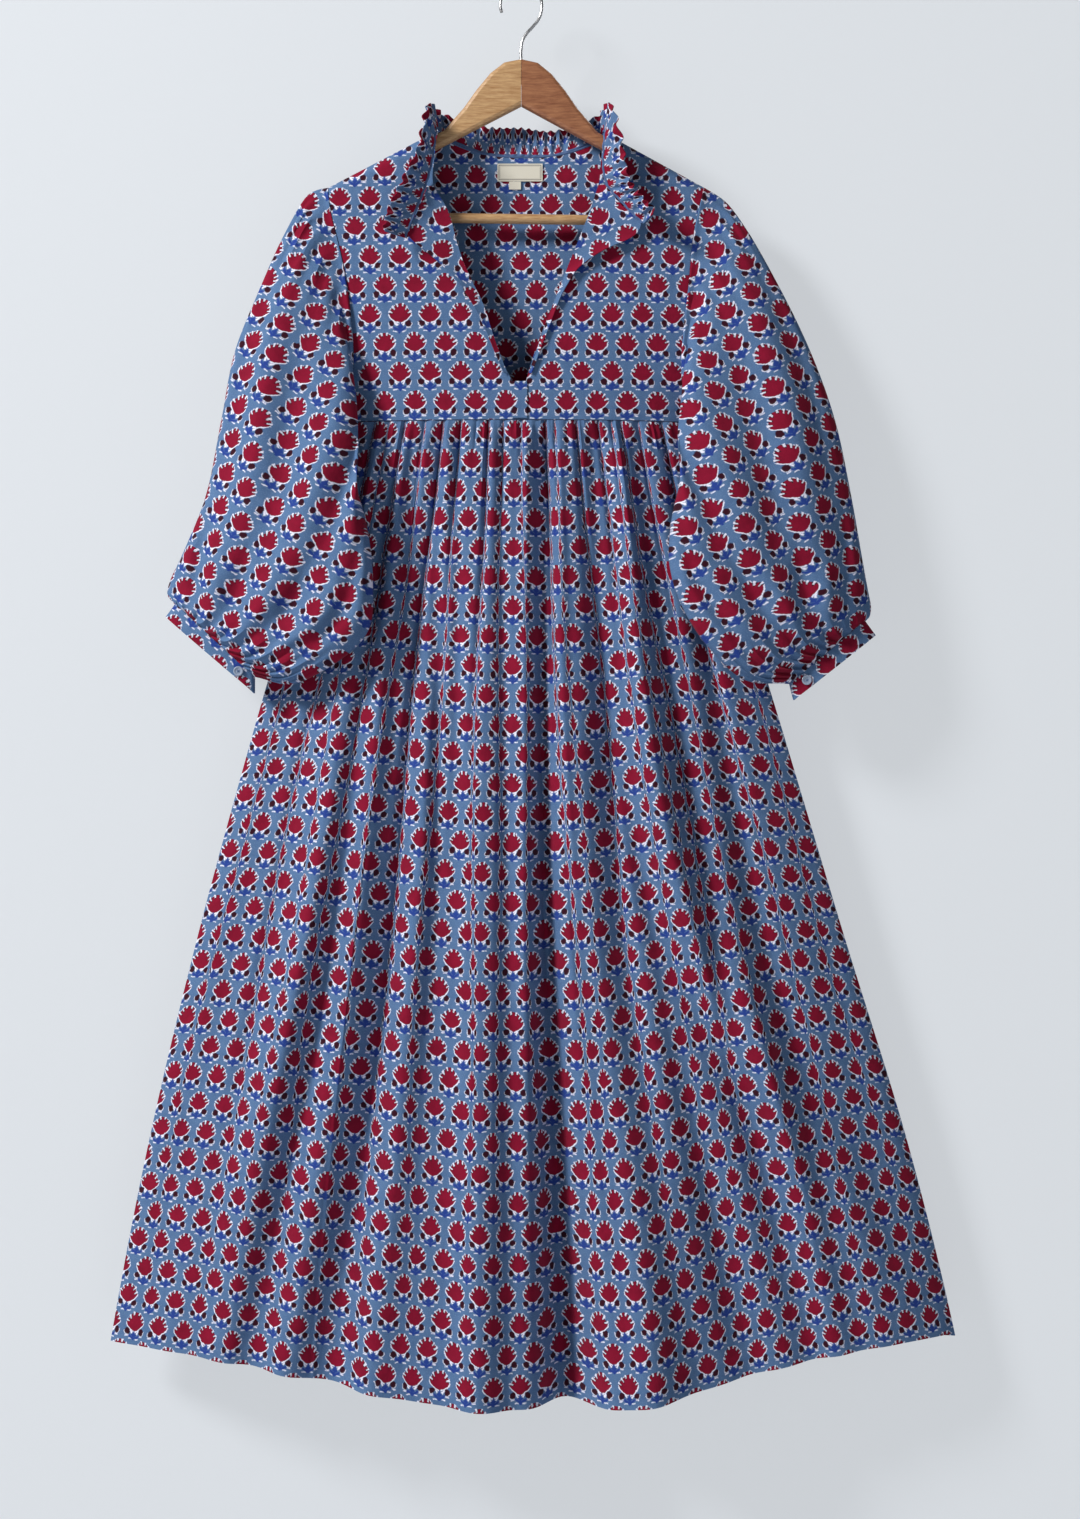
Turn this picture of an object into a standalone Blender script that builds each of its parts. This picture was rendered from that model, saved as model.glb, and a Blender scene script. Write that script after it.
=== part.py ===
"""A printed cotton dress hanging on a wooden hanger.

Lengths are in millimetres and are turned into metres as each mesh is made. X is the
wearer's left to right as seen from the front, -Y is the front, +Z is up. The origin is the
inner top of the hook, where a rail or a peg holds the hanger. Tables give heights as a
drop, the distance down from the origin.
"""
import math

import bmesh
import bpy
import numpy as np

MM = 0.001

# Cloth and seams
CLOTH = 1.2
SEAM_GAP = 0.3
YOKE_DROP = 443.0

# Shoulder line, which both the hanger and the dress follow
SHOULDER_DROP = 150.5
SHOULDER_REACH = 88.0
SHOULDER_SLOPE = 0.53
HANG_TILT = 0.014
SHOULDER_ROLL = 12.0
SHOULDER_END_LEFT = -195.0
SHOULDER_END_RIGHT = 185.0
NECK_HALF = 84.0
BACK_NECK_DIP = 20.5
BACK_NECK_DROP = 169.0
# Share of the back yoke's top edge that each shoulder seam takes
SHOULDER_SHARE = 6 / 22

# Hem
HEM_DROP_FRONT = 1421.0
HEM_RISE_LEFT = 47.0
HEM_RISE_RIGHT = 55.0
HEM_DROP_BACK = 1405.0
HEM_RISE_BACK = 36.0

# Cross-sections of the body: drop, centre, half width, depth in front of the side seams,
# depth behind them, and how far behind the origin the side seams lie
BODY = np.array([
    (150.0, -4.0, 247.0, 17.0, 17.0, 0.0),
    (300.0, -4.0, 247.0, 19.0, 17.0, 0.0),
    (400.0, -4.3, 196.0, 22.5, 16.2, 0.0),
    (436.0, -4.5, 182.8, 23.6, 16.0, 0.0),
    (443.0, -4.5, 182.5, 24.0, 16.0, 0.0),
    (452.0, -4.5, 184.9, 24.6, 16.0, 0.1),
    (600.0, -4.5, 223.0, 34.0, 17.0, 4.0),
    (754.0, -3.3, 268.5, 44.0, 18.0, 6.0),
    (956.0, -0.5, 326.5, 56.0, 20.0, 7.0),
    (1184.0, 7.3, 388.5, 68.0, 21.0, 8.0),
    (1375.0, 12.4, 430.0, 78.0, 22.0, 8.0),
    (1435.0, 13.5, 441.0, 82.0, 22.0, 8.0),
])

# Armhole seams: drop, left x, right x
ARMHOLE = np.array([
    (204.5, -195.0, 185.0),
    (232.0, -191.5, 178.0),
    (262.0, -184.0, 172.5),
    (300.0, -176.0, 169.0),
    (345.0, -170.5, 164.5),
    (385.0, -169.0, 161.5),
    (415.0, -172.0, 163.5),
    (433.0, -177.5, 168.5),
    (443.0, -182.0, 173.0),
])

# Edges of the neck and of the slit below it: drop, left x, right x
NECK = np.array([
    (149.7, -84.0, 84.0),
    (176.0, -87.0, 81.0),
    (205.0, -88.0, 78.0),
    (229.0, -75.0, 70.0),
    (278.0, -60.0, 51.0),
    (329.0, -37.0, 31.0),
    (372.0, -24.0, 14.5),
    (408.0, -8.0, 4.0),
    (443.0, -2.15, -1.85),
])

# Turned-back slit facings: drop, folded edge, free edge, and stand-off of the free edge
LAPEL_LEFT = np.array([
    (208.0, -87.3, -94.0, 2.0),
    (234.0, -72.6, -104.0, 5.0),
    (258.0, -66.0, -113.0, 7.0),
    (267.0, -63.4, -104.0, 7.0),
    (280.0, -59.3, -88.0, 6.0),
    (300.0, -50.5, -67.0, 5.0),
    (330.0, -36.6, -46.5, 3.5),
    (355.0, -28.8, -34.5, 2.5),
    (396.0, -14.0, -17.5, 1.8),
])
LAPEL_RIGHT = np.array([
    (206.0, 77.6, 84.0, 2.0),
    (226.0, 71.2, 100.0, 5.0),
    (248.0, 63.0, 120.0, 7.5),
    (259.0, 58.6, 112.0, 7.5),
    (272.0, 53.4, 84.0, 6.5),
    (288.0, 47.0, 60.0, 5.0),
    (309.0, 38.8, 45.0, 4.0),
    (347.0, 24.4, 29.0, 2.5),
    (396.0, 7.6, 10.5, 1.8),
])

# Base of the collar ruffle from the left lapel round the back to the right lapel:
# share of its length, x, y, drop, then the direction in which the ruffle stands
COLLAR = np.array([
    (0.00, -116.5, -26.5, 261.0, -0.72, -0.66, 0.10),
    (0.06, -106.5, -24.5, 235.0, -0.86, -0.50, 0.05),
    (0.12, -96.0, -21.5, 207.0, -0.72, -0.68, 0.05),
    (0.18, -89.0, -20.5, 178.0, -0.42, -0.85, 0.28),
    (0.225, -86.0, -17.5, 154.0, -0.34, -0.60, 0.72),
    (0.26, -85.0, -3.0, 144.5, -0.25, -0.22, 0.94),
    (0.30, -80.0, 14.0, 147.5, -0.12, 0.10, 0.98),
    (0.36, -50.0, 16.6, 161.0, 0.0, 0.14, 0.99),
    (0.50, 0.0, 16.6, 167.4, 0.0, 0.14, 0.99),
    (0.64, 50.0, 16.6, 162.4, 0.0, 0.14, 0.99),
    (0.70, 80.0, 14.0, 149.5, 0.06, 0.10, 0.98),
    (0.74, 85.0, -3.0, 147.0, 0.08, -0.22, 0.96),
    (0.775, 84.0, -17.5, 157.0, 0.30, -0.62, 0.70),
    (0.82, 82.5, -20.5, 180.0, 0.62, -0.74, 0.20),
    (0.88, 86.0, -21.5, 205.0, 0.74, -0.64, -0.02),
    (0.94, 102.5, -24.5, 226.0, 0.62, -0.76, 0.12),
    (1.00, 122.5, -27.0, 247.0, 0.40, -0.86, 0.24),
])
COLLAR_HEIGHT = 29.0
COLLAR_WAVES = 44
COLLAR_SWING_SEAM = 0.5
COLLAR_SWING_EDGE = 3.0

# Folds of the skirt front: x at the yoke, at mid length and at the hem, then how far the
# cloth stands out there (a trough is negative), then its half width there
FRONT_FOLDS = np.array([
    (22.0, 22.0, 42.0, -3.0, -9.0, -24.0, 9.0, 16.0, 38.0),
    (-40.0, -38.0, -44.0, 1.0, 7.0, 18.0, 22.0, 34.0, 56.0),
    (-85.0, -84.0, -95.0, -3.0, -6.0, -2.0, 7.0, 11.0, 24.0),
    (-108.0, -135.0, -165.0, -3.0, -3.0, 0.0, 8.0, 12.0, 20.0),
    (-95.0, -119.0, -200.0, 0.0, -5.0, -7.0, 9.0, 13.0, 26.0),
    (50.0, 68.0, 130.0, 2.0, 5.0, 8.0, 8.0, 14.0, 28.0),
    (70.0, 97.0, 165.0, -3.0, -6.0, -4.0, 8.0, 12.0, 24.0),
    (95.0, 165.0, 425.0, 2.0, 10.0, 4.0, 10.0, 22.0, 26.0),
    (62.0, 126.0, 370.0, 0.0, -6.0, -5.0, 10.0, 18.0, 24.0),
    (190.0, 297.0, 405.0, 0.0, -4.0, 0.0, 10.0, 14.0, 20.0),
    (-140.0, -196.0, -350.0, 1.0, 8.0, 6.0, 12.0, 24.0, 32.0),
    (-185.0, -270.0, -400.0, 0.0, -5.0, -2.0, 12.0, 18.0, 24.0),
    (120.0, 130.0, 130.0, 0.0, 3.0, 17.0, 20.0, 32.0, 50.0),
])
# Folds of the skirt back, in the same columns
BACK_FOLDS = np.array([
    (-120.0, -160.0, -230.0, 2.0, 4.0, 3.0, 16.0, 30.0, 44.0),
    (-60.0, -70.0, -95.0, -3.0, -5.0, -7.0, 10.0, 18.0, 34.0),
    (10.0, 10.0, 15.0, 1.5, 3.0, 3.0, 16.0, 30.0, 44.0),
    (70.0, 95.0, 130.0, -3.0, -6.0, -8.0, 10.0, 18.0, 34.0),
    (130.0, 185.0, 260.0, 2.0, 4.0, 3.0, 14.0, 28.0, 40.0),
])
FOLD_DROPS = (YOKE_DROP, 900.0, 1400.0)
GATHERS = 30
GATHER_HEIGHT = 2.0
GATHER_LENGTH = 130.0

# Sleeve sections from the shoulder to the cuff: outer point x and drop, inner point x and
# drop, bow of the front towards the body, outer y, inner y, depth in front and behind
SLEEVE_LEFT = np.array([
    (-195.0, 204.5, -182.0, 442.5, 20.0, 0.0, 0.0, 12.0, 10.0),
    (-215.0, 211.0, -188.0, 447.0, 24.0, -1.0, -2.0, 15.0, 10.0),
    (-239.0, 251.0, -190.5, 453.0, 37.0, -2.0, -6.0, 21.0, 13.0),
    (-267.0, 314.0, -187.0, 466.0, 47.0, -3.0, -14.0, 26.0, 16.0),
    (-289.0, 370.0, -177.0, 485.0, 46.0, -3.0, -22.0, 30.0, 19.0),
    (-303.0, 440.0, -164.0, 514.0, 34.0, -3.0, -34.0, 33.0, 20.0),
    (-318.0, 515.0, -153.0, 552.0, 16.0, -4.0, -43.0, 34.0, 21.0),
    (-341.0, 574.0, -147.0, 604.0, 5.0, -5.0, -47.0, 33.0, 20.0),
    (-354.0, 602.0, -151.0, 655.0, 0.0, -6.0, -49.0, 30.0, 18.0),
    (-357.0, 616.0, -178.0, 684.0, 0.0, -8.0, -48.0, 26.0, 14.0),
    (-353.0, 623.0, -226.0, 708.0, 0.0, -10.0, -38.0, 20.0, 11.0),
    (-348.0, 626.0, -266.0, 701.0, 0.0, -12.0, -28.0, 12.0, 9.0),
])
SLEEVE_RIGHT = np.array([
    (185.0, 204.5, 173.0, 442.5, 20.0, 0.0, 0.0, 12.0, 10.0),
    (206.0, 218.0, 177.5, 447.0, 20.0, -1.0, -2.0, 15.0, 10.0),
    (229.0, 249.0, 181.5, 453.0, 33.0, -2.0, -6.0, 21.0, 13.0),
    (262.0, 308.0, 178.0, 466.0, 43.0, -3.0, -14.0, 26.0, 16.0),
    (291.0, 368.0, 167.0, 486.0, 44.0, -3.0, -22.0, 30.0, 19.0),
    (317.0, 440.0, 157.0, 514.0, 32.0, -3.0, -34.0, 33.0, 20.0),
    (333.0, 515.0, 149.0, 550.0, 12.0, -4.0, -43.0, 34.0, 21.0),
    (344.0, 578.0, 148.0, 594.0, 4.0, -5.0, -47.0, 33.0, 20.0),
    (350.0, 612.0, 162.0, 636.0, 0.0, -6.0, -49.0, 30.0, 18.0),
    (353.0, 630.0, 186.0, 672.0, 0.0, -8.0, -48.0, 26.0, 14.0),
    (351.0, 640.0, 222.0, 704.0, 0.0, -10.0, -40.0, 20.0, 11.0),
    (346.0, 643.0, 268.0, 708.0, 0.0, -12.0, -30.0, 12.0, 9.0),
])
# Where the stations above lie along the sleeve
SLEEVE_SHARES = np.array([0.0, 0.06, 0.13, 0.22, 0.32, 0.44, 0.56, 0.68, 0.78, 0.86, 0.93, 1.0])
SLEEVE_GATHERS = 14
SLEEVE_ROWS = 15
SLEEVE_CLOTH = 1.0
HEAD_SWELL = 1.6
CUFF_SWELL = 2.4
UNDERARM_DROP = 400.0
SLEEVE_CLEARANCE = 3.4
EDGE_MARGIN = 2.5
EDGE_WRAP = 1.2
SLEEVE_HOLLOW = 7.0
# Outermost reach of the body beside the armholes, which the sleeves pass in front of below
# it: drop, left x, right x
BODY_EDGE = np.array([
    (204.5, -195.0, 185.0),
    (300.0, -176.0, 169.0),
    (385.0, -170.0, 162.0),
    (420.0, -177.0, 168.5),
    (443.0, -187.0, 178.0),
    (452.0, -189.4, 180.4),
    (470.0, -194.2, 185.2),
])

# Cuff bands: outer point x and drop, inner point x and drop, outer y, inner y, depth in
# front and behind; the seam to the sleeve first, then the open edge
CUFF_LEFT = np.array([
    (-348.0, 626.0, -266.0, 701.0, -12.0, -28.0, 12.0, 9.0),
    (-358.0, 639.5, -266.0, 717.0, -12.0, -28.0, 12.5, 9.0),
])
CUFF_RIGHT = np.array([
    (346.0, 643.0, 268.0, 708.0, -12.0, -30.0, 12.0, 9.0),
    (357.0, 658.0, 272.0, 724.0, -12.0, -30.0, 12.5, 9.0),
])
BUTTON_RADIUS = 5.0
BUTTON_THICKNESS = 2.4
BUTTON_SHARE = 0.36

# Labels, placket
LABEL_WIDTH = 46.0
LABEL_HEIGHT = 18.0
LABEL_DROP = 185.0
TAB_WIDTH = 12.0
TAB_HEIGHT = 8.0
TAB_X = -6.5
LABEL_THICKNESS = 0.8
PLACKET_LEFT = -9.0
PLACKET_RIGHT = 6.0
PLACKET_TOP = 404.0
PLACKET_FOOT = 441.0

# Hanger
WIRE = 3.2
HOOK_RADIUS = 21.0
STEM_FOOT = 100.0
BOARD = 11.0
BOARD_BEVEL = 4.0
BOARD_DEPTH = 16.0
BOARD_UNDER_CLOTH = 2.5
BOARD_END = 184.0
MITRE_GAP = 0.3
LUG_START = 164.0
LUG_DROP = 243.0
BAR = 10.0
BAR_DROP = 236.0
# Crown of one arm: distance from the middle, drop of its top edge
CROWN = ((MITRE_GAP / 2, 74.5), (17.0, 78.0), (31.0, 89.0), (45.0, 106.0), (58.0, 124.5), (68.0, 136.0))
ARM_UNDERSIDE_DROP = 122.0
ARM_UNDERSIDE_SLOPE = 0.53


def smooth_row(table, at):
    """Row of a table at any value of its first column, on a smooth curve through its rows."""
    keys = table[:, 0]
    at = np.clip(np.asarray(at, dtype=float), keys[0], keys[-1])
    low = np.clip(np.searchsorted(keys, at, side="right") - 1, 0, len(keys) - 2)
    slopes = np.gradient(table[:, 1:], keys, axis=0)
    span = (keys[low + 1] - keys[low])[..., None]
    t = (at - keys[low])[..., None] / span
    start, end = table[low, 1:], table[low + 1, 1:]
    rise, fall = slopes[low] * span, slopes[low + 1] * span
    return (start * (1 + 2 * t) * (1 - t) ** 2 + rise * t * (1 - t) ** 2
            + end * t * t * (3 - 2 * t) - fall * t * t * (1 - t))


def ease(t):
    """0 to 1 with flat ends."""
    t = np.clip(t, 0.0, 1.0)
    return t * t * (3 - 2 * t)


def cosine_share(v):
    """Spacing that is close at both ends; the yokes and the sleeve heads share it."""
    return (1 - np.cos(math.pi * v)) / 2


def blend(start, end, share):
    return start + (end - start) * share


def shoulder_drop(x):
    return SHOULDER_DROP + SHOULDER_SLOPE * (np.abs(x) - SHOULDER_REACH) + HANG_TILT * x


def neck_drop(x):
    """Back neck seam, a shallow dip between the shoulders."""
    return BACK_NECK_DROP + HANG_TILT * x - BACK_NECK_DIP * np.abs(x / NECK_HALF) ** 2.5


def fullness(x, drop):
    """Share of the body's depth at a place, thin at the sides and rolled at the shoulder."""
    centre, half = np.moveaxis(smooth_row(BODY, drop)[..., :2], -1, 0)
    side = (1 - np.clip(np.abs(x - centre) / half, 0, 1) ** 2.2) ** 0.75
    below = np.clip((drop - shoulder_drop(x)) / SHOULDER_ROLL, 0, 1)
    return side * np.sqrt(1 - (1 - below) ** 2)


def fold_height(folds, x, drop):
    """Sum of the soft ridges and troughs of one skirt panel."""
    height = np.zeros(np.broadcast(x, drop).shape)
    for row in folds:
        track = np.column_stack((FOLD_DROPS, row[:3], row[3:6], row[6:9]))
        middle, lift, width = np.moveaxis(smooth_row(track, drop), -1, 0)
        height = height + lift * np.exp(-((x - middle) / width) ** 2)
    centre, half = np.moveaxis(smooth_row(BODY, drop)[..., :2], -1, 0)
    fade = 1 - np.clip(np.abs(x - centre) / half, 0, 1) ** 8
    return height * fade * ease((drop - YOKE_DROP) / 30.0)


def front_y(x, drop):
    depth, seam = np.moveaxis(smooth_row(BODY, drop)[..., [2, 4]], -1, 0)
    return seam - SEAM_GAP / 2 - depth * fullness(x, drop) - fold_height(FRONT_FOLDS, x, drop)


def back_y(x, drop):
    depth, seam = np.moveaxis(smooth_row(BODY, drop)[..., 3:], -1, 0)
    return seam + SEAM_GAP / 2 + depth * fullness(x, drop) + fold_height(BACK_FOLDS, x, drop)


def points(x, y, drop):
    return np.stack(np.broadcast_arrays(x, y, -np.asarray(drop)), axis=-1)


def armhole_drop(share, shoulder_end):
    """Drop at a share of the way down an armhole seam."""
    return blend(shoulder_drop(shoulder_end), YOKE_DROP - SEAM_GAP / 2, share)


def front_yoke(side):
    """Surface of half the front yoke, from its left edge to its right edge."""
    shoulder_end = SHOULDER_END_LEFT if side < 0 else SHOULDER_END_RIGHT
    column = 0 if side < 0 else 1

    def surface(u, v):
        across = u if side < 0 else 1 - u
        share = cosine_share(v)
        outer_drop = armhole_drop(share, shoulder_end)
        inner_drop = blend(shoulder_drop(side * NECK_HALF), YOKE_DROP - SEAM_GAP / 2, share)
        armhole = smooth_row(ARMHOLE, outer_drop)[..., column]
        edge = smooth_row(NECK, inner_drop)[..., column]
        x, drop = blend(armhole, edge, across), blend(outer_drop, inner_drop, across)
        return points(x, front_y(x, drop), drop)
    return surface


def back_yoke(u, v):
    """Surface of the back yoke, from the wearer's right armhole round to the left."""
    share = cosine_share(v)
    seams = [0.0, SHOULDER_SHARE, 1 - SHOULDER_SHARE, 1.0]
    stops = np.interp(u, seams, [SHOULDER_END_RIGHT / NECK_HALF, 1.0, -1.0, SHOULDER_END_LEFT / NECK_HALF])
    top_x = NECK_HALF * np.where(np.abs(stops) < 1, np.sin(math.pi / 2 * stops), stops)
    top = np.where(np.abs(top_x) < NECK_HALF, neck_drop(top_x), shoulder_drop(top_x))
    drop = blend(top, YOKE_DROP - SEAM_GAP / 2, share)
    left = smooth_row(ARMHOLE, armhole_drop(share, SHOULDER_END_LEFT))[..., 0]
    right = smooth_row(ARMHOLE, armhole_drop(share, SHOULDER_END_RIGHT))[..., 1]
    x = blend(left, right, (top_x - SHOULDER_END_LEFT) / (SHOULDER_END_RIGHT - SHOULDER_END_LEFT))
    return points(x, back_y(x, drop), drop)


def hem_drop(across, front):
    rise = np.where(across < 0, HEM_RISE_LEFT, HEM_RISE_RIGHT) if front else HEM_RISE_BACK
    lowest = HEM_DROP_FRONT if front else HEM_DROP_BACK
    return lowest - rise * np.sin(math.pi / 2 * np.abs(across)) ** 2


def gather_height(u, drop):
    """Small gathers under the yoke seam, each with its own height and length."""
    number = np.floor(u * GATHERS)
    height = GATHER_HEIGHT * (0.8 + 0.35 * np.sin(2.7 * number))
    length = GATHER_LENGTH * (0.75 + 0.35 * np.sin(4.1 * number + 1.0))
    fade = ease(1 - (drop - YOKE_DROP) / length)
    return height * fade * np.cos(2 * math.pi * GATHERS * u)


def skirt(front):
    """Surface of the skirt front, left to right, or of the back, right to left."""
    def surface(u, v):
        s = (2 * u - 1) if front else (1 - 2 * u)
        across = 0.55 * s + 0.45 * np.sin(math.pi / 2 * s)
        down = v * (0.62 + 0.38 * v)
        drop = blend(YOKE_DROP + SEAM_GAP / 2, hem_drop(across, front), down)
        centre, half = np.moveaxis(smooth_row(BODY, drop)[..., :2], -1, 0)
        x = centre + across * half
        ruffle = gather_height(u, drop) * (1 - np.abs(across) ** 6)
        y = front_y(x, drop) - ruffle if front else back_y(x, drop) + ruffle
        return points(x, y, drop)
    return surface


def ring_section(row, angle):
    """Closed section through an outer and an inner point, bowed in front towards the body."""
    out_x, out_drop, in_x, in_drop, bow, out_y, in_y, front, back = np.moveaxis(row, -1, 0)
    share = (1 - np.cos(angle)) / 2
    facing = np.sin(angle)
    x, drop, y = blend(out_x, in_x, share), blend(out_drop, in_drop, share), blend(out_y, in_y, share)
    bulge = bow * np.sin(math.pi * share ** 1.6) * np.where(facing > 0, 1.0, 0.05)
    x = x - bulge * np.sign(out_x)
    depth = np.abs(facing) ** 0.8
    return x, drop, y - np.where(facing > 0, front, -back) * depth


def behind_limit(x, drop, side):
    """Furthest back that a sleeve may reach where it lies over the body."""
    column = 0 if side < 0 else 1
    body = smooth_row(BODY, drop)
    edge = np.where(drop < BODY_EDGE[-1, 0], smooth_row(BODY_EDGE, drop)[..., column],
                    body[..., 0] + side * body[..., 1])
    past = np.maximum(side * (x - edge) - EDGE_MARGIN, 0.0)
    return front_y(x, drop) - SLEEVE_CLEARANCE + EDGE_WRAP * past


def sleeve(side, table):
    """Surface of a sleeve: round it from its outer line, and down it to the cuff."""
    rows = np.column_stack((SLEEVE_SHARES, table))
    shoulder_end = SHOULDER_END_LEFT if side < 0 else SHOULDER_END_RIGHT
    column = 0 if side < 0 else 1

    def surface(u, v):
        angle = 2 * math.pi * (u if side < 0 else 1 - u)
        facing = np.sin(angle)
        row = smooth_row(rows, v)
        x, drop, y = ring_section(row, angle)
        share = (1 - np.cos(angle)) / 2
        gathers = np.cos(SLEEVE_GATHERS * angle)
        head = HEAD_SWELL * np.exp(-((v - 0.09) / 0.07) ** 2) * (1 - share)
        swell = head + CUFF_SWELL * np.exp(-((v - 0.93) / 0.06) ** 2)
        y = y - facing * gathers * swell
        length = np.hypot(row[..., 2] - row[..., 0], row[..., 3] - row[..., 1])
        outward = 0.6 * gathers * swell * (2 * share - 1) / length
        x = x + outward * (row[..., 2] - row[..., 0])
        drop = drop + outward * (row[..., 3] - row[..., 1])
        limit = behind_limit(x, drop, side) - SLEEVE_HOLLOW * np.clip(facing, 0, 1) ** 0.6
        y = np.where((drop > UNDERARM_DROP) | (facing > 0), np.minimum(y, limit), y)
        edge_drop = armhole_drop(share, shoulder_end)
        edge_x = smooth_row(ARMHOLE, edge_drop)[..., column]
        edge_y = np.where(facing >= 0, front_y(edge_x, edge_drop), back_y(edge_x, edge_drop))
        edge_x = edge_x + side * SEAM_GAP
        start = 1 - np.clip(v / SLEEVE_SHARES[1], 0, 1)
        return points(blend(x, edge_x, start), blend(y, edge_y, start), blend(drop, edge_drop, start))
    return surface


def cuff(side, table):
    """Surface of a cuff band, from the sleeve seam to its open edge."""
    def surface(u, v):
        angle = 2 * math.pi * (u if side < 0 else 1 - u)
        row = blend(table[0], table[1], np.asarray(v)[..., None])
        full = np.insert(row, 4, 0.0, axis=-1)
        x, drop, y = ring_section(full, angle)
        arm = table[1, :2] - table[0, :2]
        step = SEAM_GAP / np.hypot(*arm)
        return points(x + arm[0] * step, y, drop + arm[1] * step)
    return surface


def lapel(side, table):
    """Surface of a turned-back slit facing, lying on the front yoke."""
    def surface(u, v):
        across = u if side < 0 else 1 - u
        drop = blend(table[0, 0], table[-1, 0], v)
        fold, free, stand = np.moveaxis(smooth_row(table, drop), -1, 0)
        x = blend(free, fold, across)
        lift = CLOTH + SEAM_GAP + stand * (1 - across) ** 1.3
        return points(x, front_y(x, drop) - lift, drop)
    return surface


def placket(u, v):
    """Surface of the overlap that closes the foot of the slit."""
    x = blend(PLACKET_LEFT, PLACKET_RIGHT, u)
    drop = blend(PLACKET_TOP, PLACKET_FOOT, v)
    return points(x, front_y(x, drop) - CLOTH - SEAM_GAP, drop)


def collar(u, v):
    """Surface of the collar ruffle: along its seam, and from its free edge to the seam."""
    row = smooth_row(COLLAR, u)
    near = smooth_row(COLLAR, np.clip(u + 0.002, 0, 1)) - smooth_row(COLLAR, np.clip(u - 0.002, 0, 1))
    base = points(row[..., 0], row[..., 1], row[..., 2])
    along = points(near[..., 0], near[..., 1], near[..., 2])
    lean = row[..., 3:]
    lean = lean / np.linalg.norm(lean, axis=-1, keepdims=True)
    swing = np.cross(along, lean)
    swing = swing / np.linalg.norm(swing, axis=-1, keepdims=True)
    up = 1 - v
    size = blend(COLLAR_SWING_SEAM, COLLAR_SWING_EDGE, up) * (0.8 + 0.25 * np.sin(9.0 * u * 7 + 1))
    wave = size * np.cos(2 * math.pi * COLLAR_WAVES * u)
    height = COLLAR_HEIGHT * up * (0.94 + 0.08 * np.sin(17 * u))
    return base + lean * height[..., None] + swing * wave[..., None]


def label_surface(middle, width, top, height):
    """Surface of a flat label on the inside of the back yoke."""
    def surface(u, v):
        x = middle + width * (u - 0.5)
        drop = top + height * v
        y = back_y(x, drop) - CLOTH - SEAM_GAP - LABEL_THICKNESS
        return points(x, y, drop)
    return surface


def surface_normals(surface, u, v, pins, closed, reach=None):
    """Outward unit normals of a surface; at a pinned edge one axis is left out."""
    step = 0.004
    step_u, step_v = reach or (step, step)
    inner_v = v if reach else np.clip(v, 2 * step, 1 - 2 * step)

    def at(uu, vv):
        return surface(uu % 1.0 if closed else np.clip(uu, 0, 1), np.clip(vv, 0, 1))
    across = at(u + step_u, inner_v) - at(u - step_u, inner_v)
    down = at(u, inner_v + step_v) - at(u, inner_v - step_v)
    normals = -np.cross(across, down)
    for edge, axis in pins:
        shoulder = np.abs(u - 0.5) > 0.5 - SHOULDER_SHARE - step
        on_edge = {"top": v < step, "foot": v > 1 - step, "start": u < step, "end": u > 1 - step,
                   "shoulders": (v < step) & shoulder}[edge]
        normals[on_edge, axis] = 0.0
    return normals / np.linalg.norm(normals, axis=-1, keepdims=True)


def flat_grid(columns, rows):
    """Unit grid, u to the right and v down."""
    bm = bmesh.new()
    bmesh.ops.create_grid(bm, x_segments=columns, y_segments=rows, size=0.5)
    bmesh.ops.translate(bm, verts=bm.verts, vec=(0.5, -0.5, 0.0))
    return bm


def tube_grid(columns, rows):
    """The same grid rolled into a tube of circumference 1 and welded along its edges."""
    bm = flat_grid(columns, rows)
    for vert in bm.verts:
        turn = 2 * math.pi * vert.co.x
        vert.co = (math.cos(turn), math.sin(turn), vert.co.y)
    bmesh.ops.remove_doubles(bm, verts=bm.verts, dist=1e-5)
    return bm


def cloth_object(name, bm, surface, material, thickness=CLOTH, closed=False, pins=(), reach=None):
    """Turn a unit grid into a closed cloth wall with its outer face on the surface.

    A reach makes each normal the mean over that share of the surface on either side.
    """
    extruded = bmesh.ops.extrude_face_region(bm, geom=bm.faces[:], use_keep_orig=True)
    inner = {item for item in extruded["geom"] if isinstance(item, bmesh.types.BMVert)}
    spots = np.array([vert.co[:] for vert in bm.verts])
    if closed:
        u = (np.arctan2(spots[:, 1], spots[:, 0]) / (2 * math.pi)) % 1.0
        v = -spots[:, 2]
    else:
        u, v = spots[:, 0], -spots[:, 1]
    u[u > 1 - 1e-6] = 0.0 if closed else 1.0
    v = np.clip(v, 0, 1)
    is_inner = np.array([vert in inner for vert in bm.verts])
    shift = -thickness * surface_normals(surface, u, v, pins, closed, reach)
    places = (surface(u, v) + shift * is_inner[:, None]) * MM
    for vert, place in zip(bm.verts, places):
        vert.co = place
    bmesh.ops.recalc_face_normals(bm, faces=bm.faces)
    return finish_object(name, bm, material)


def finish_object(name, bm, material):
    """Make a shaded object of a bmesh and put it in the dress's collection."""
    mesh = bpy.data.meshes.new(name)
    bm.to_mesh(mesh)
    bm.free()
    mesh.shade_smooth()
    mesh.set_sharp_from_angle(angle=math.radians(40))
    mesh.materials.append(material)
    thing = bpy.data.objects.new(name, mesh)
    bpy.data.collections[COLLECTION].objects.link(thing)
    return thing


def make_material(name, colour, roughness, metallic=0.0):
    material = bpy.data.materials.new(name)
    material.use_nodes = True
    shader = material.node_tree.nodes["Principled BSDF"]
    shader.inputs["Base Color"].default_value = (*colour, 1.0)
    shader.inputs["Roughness"].default_value = roughness
    shader.inputs["Metallic"].default_value = metallic
    material.diffuse_color = (*colour, 1.0)
    return material


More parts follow.
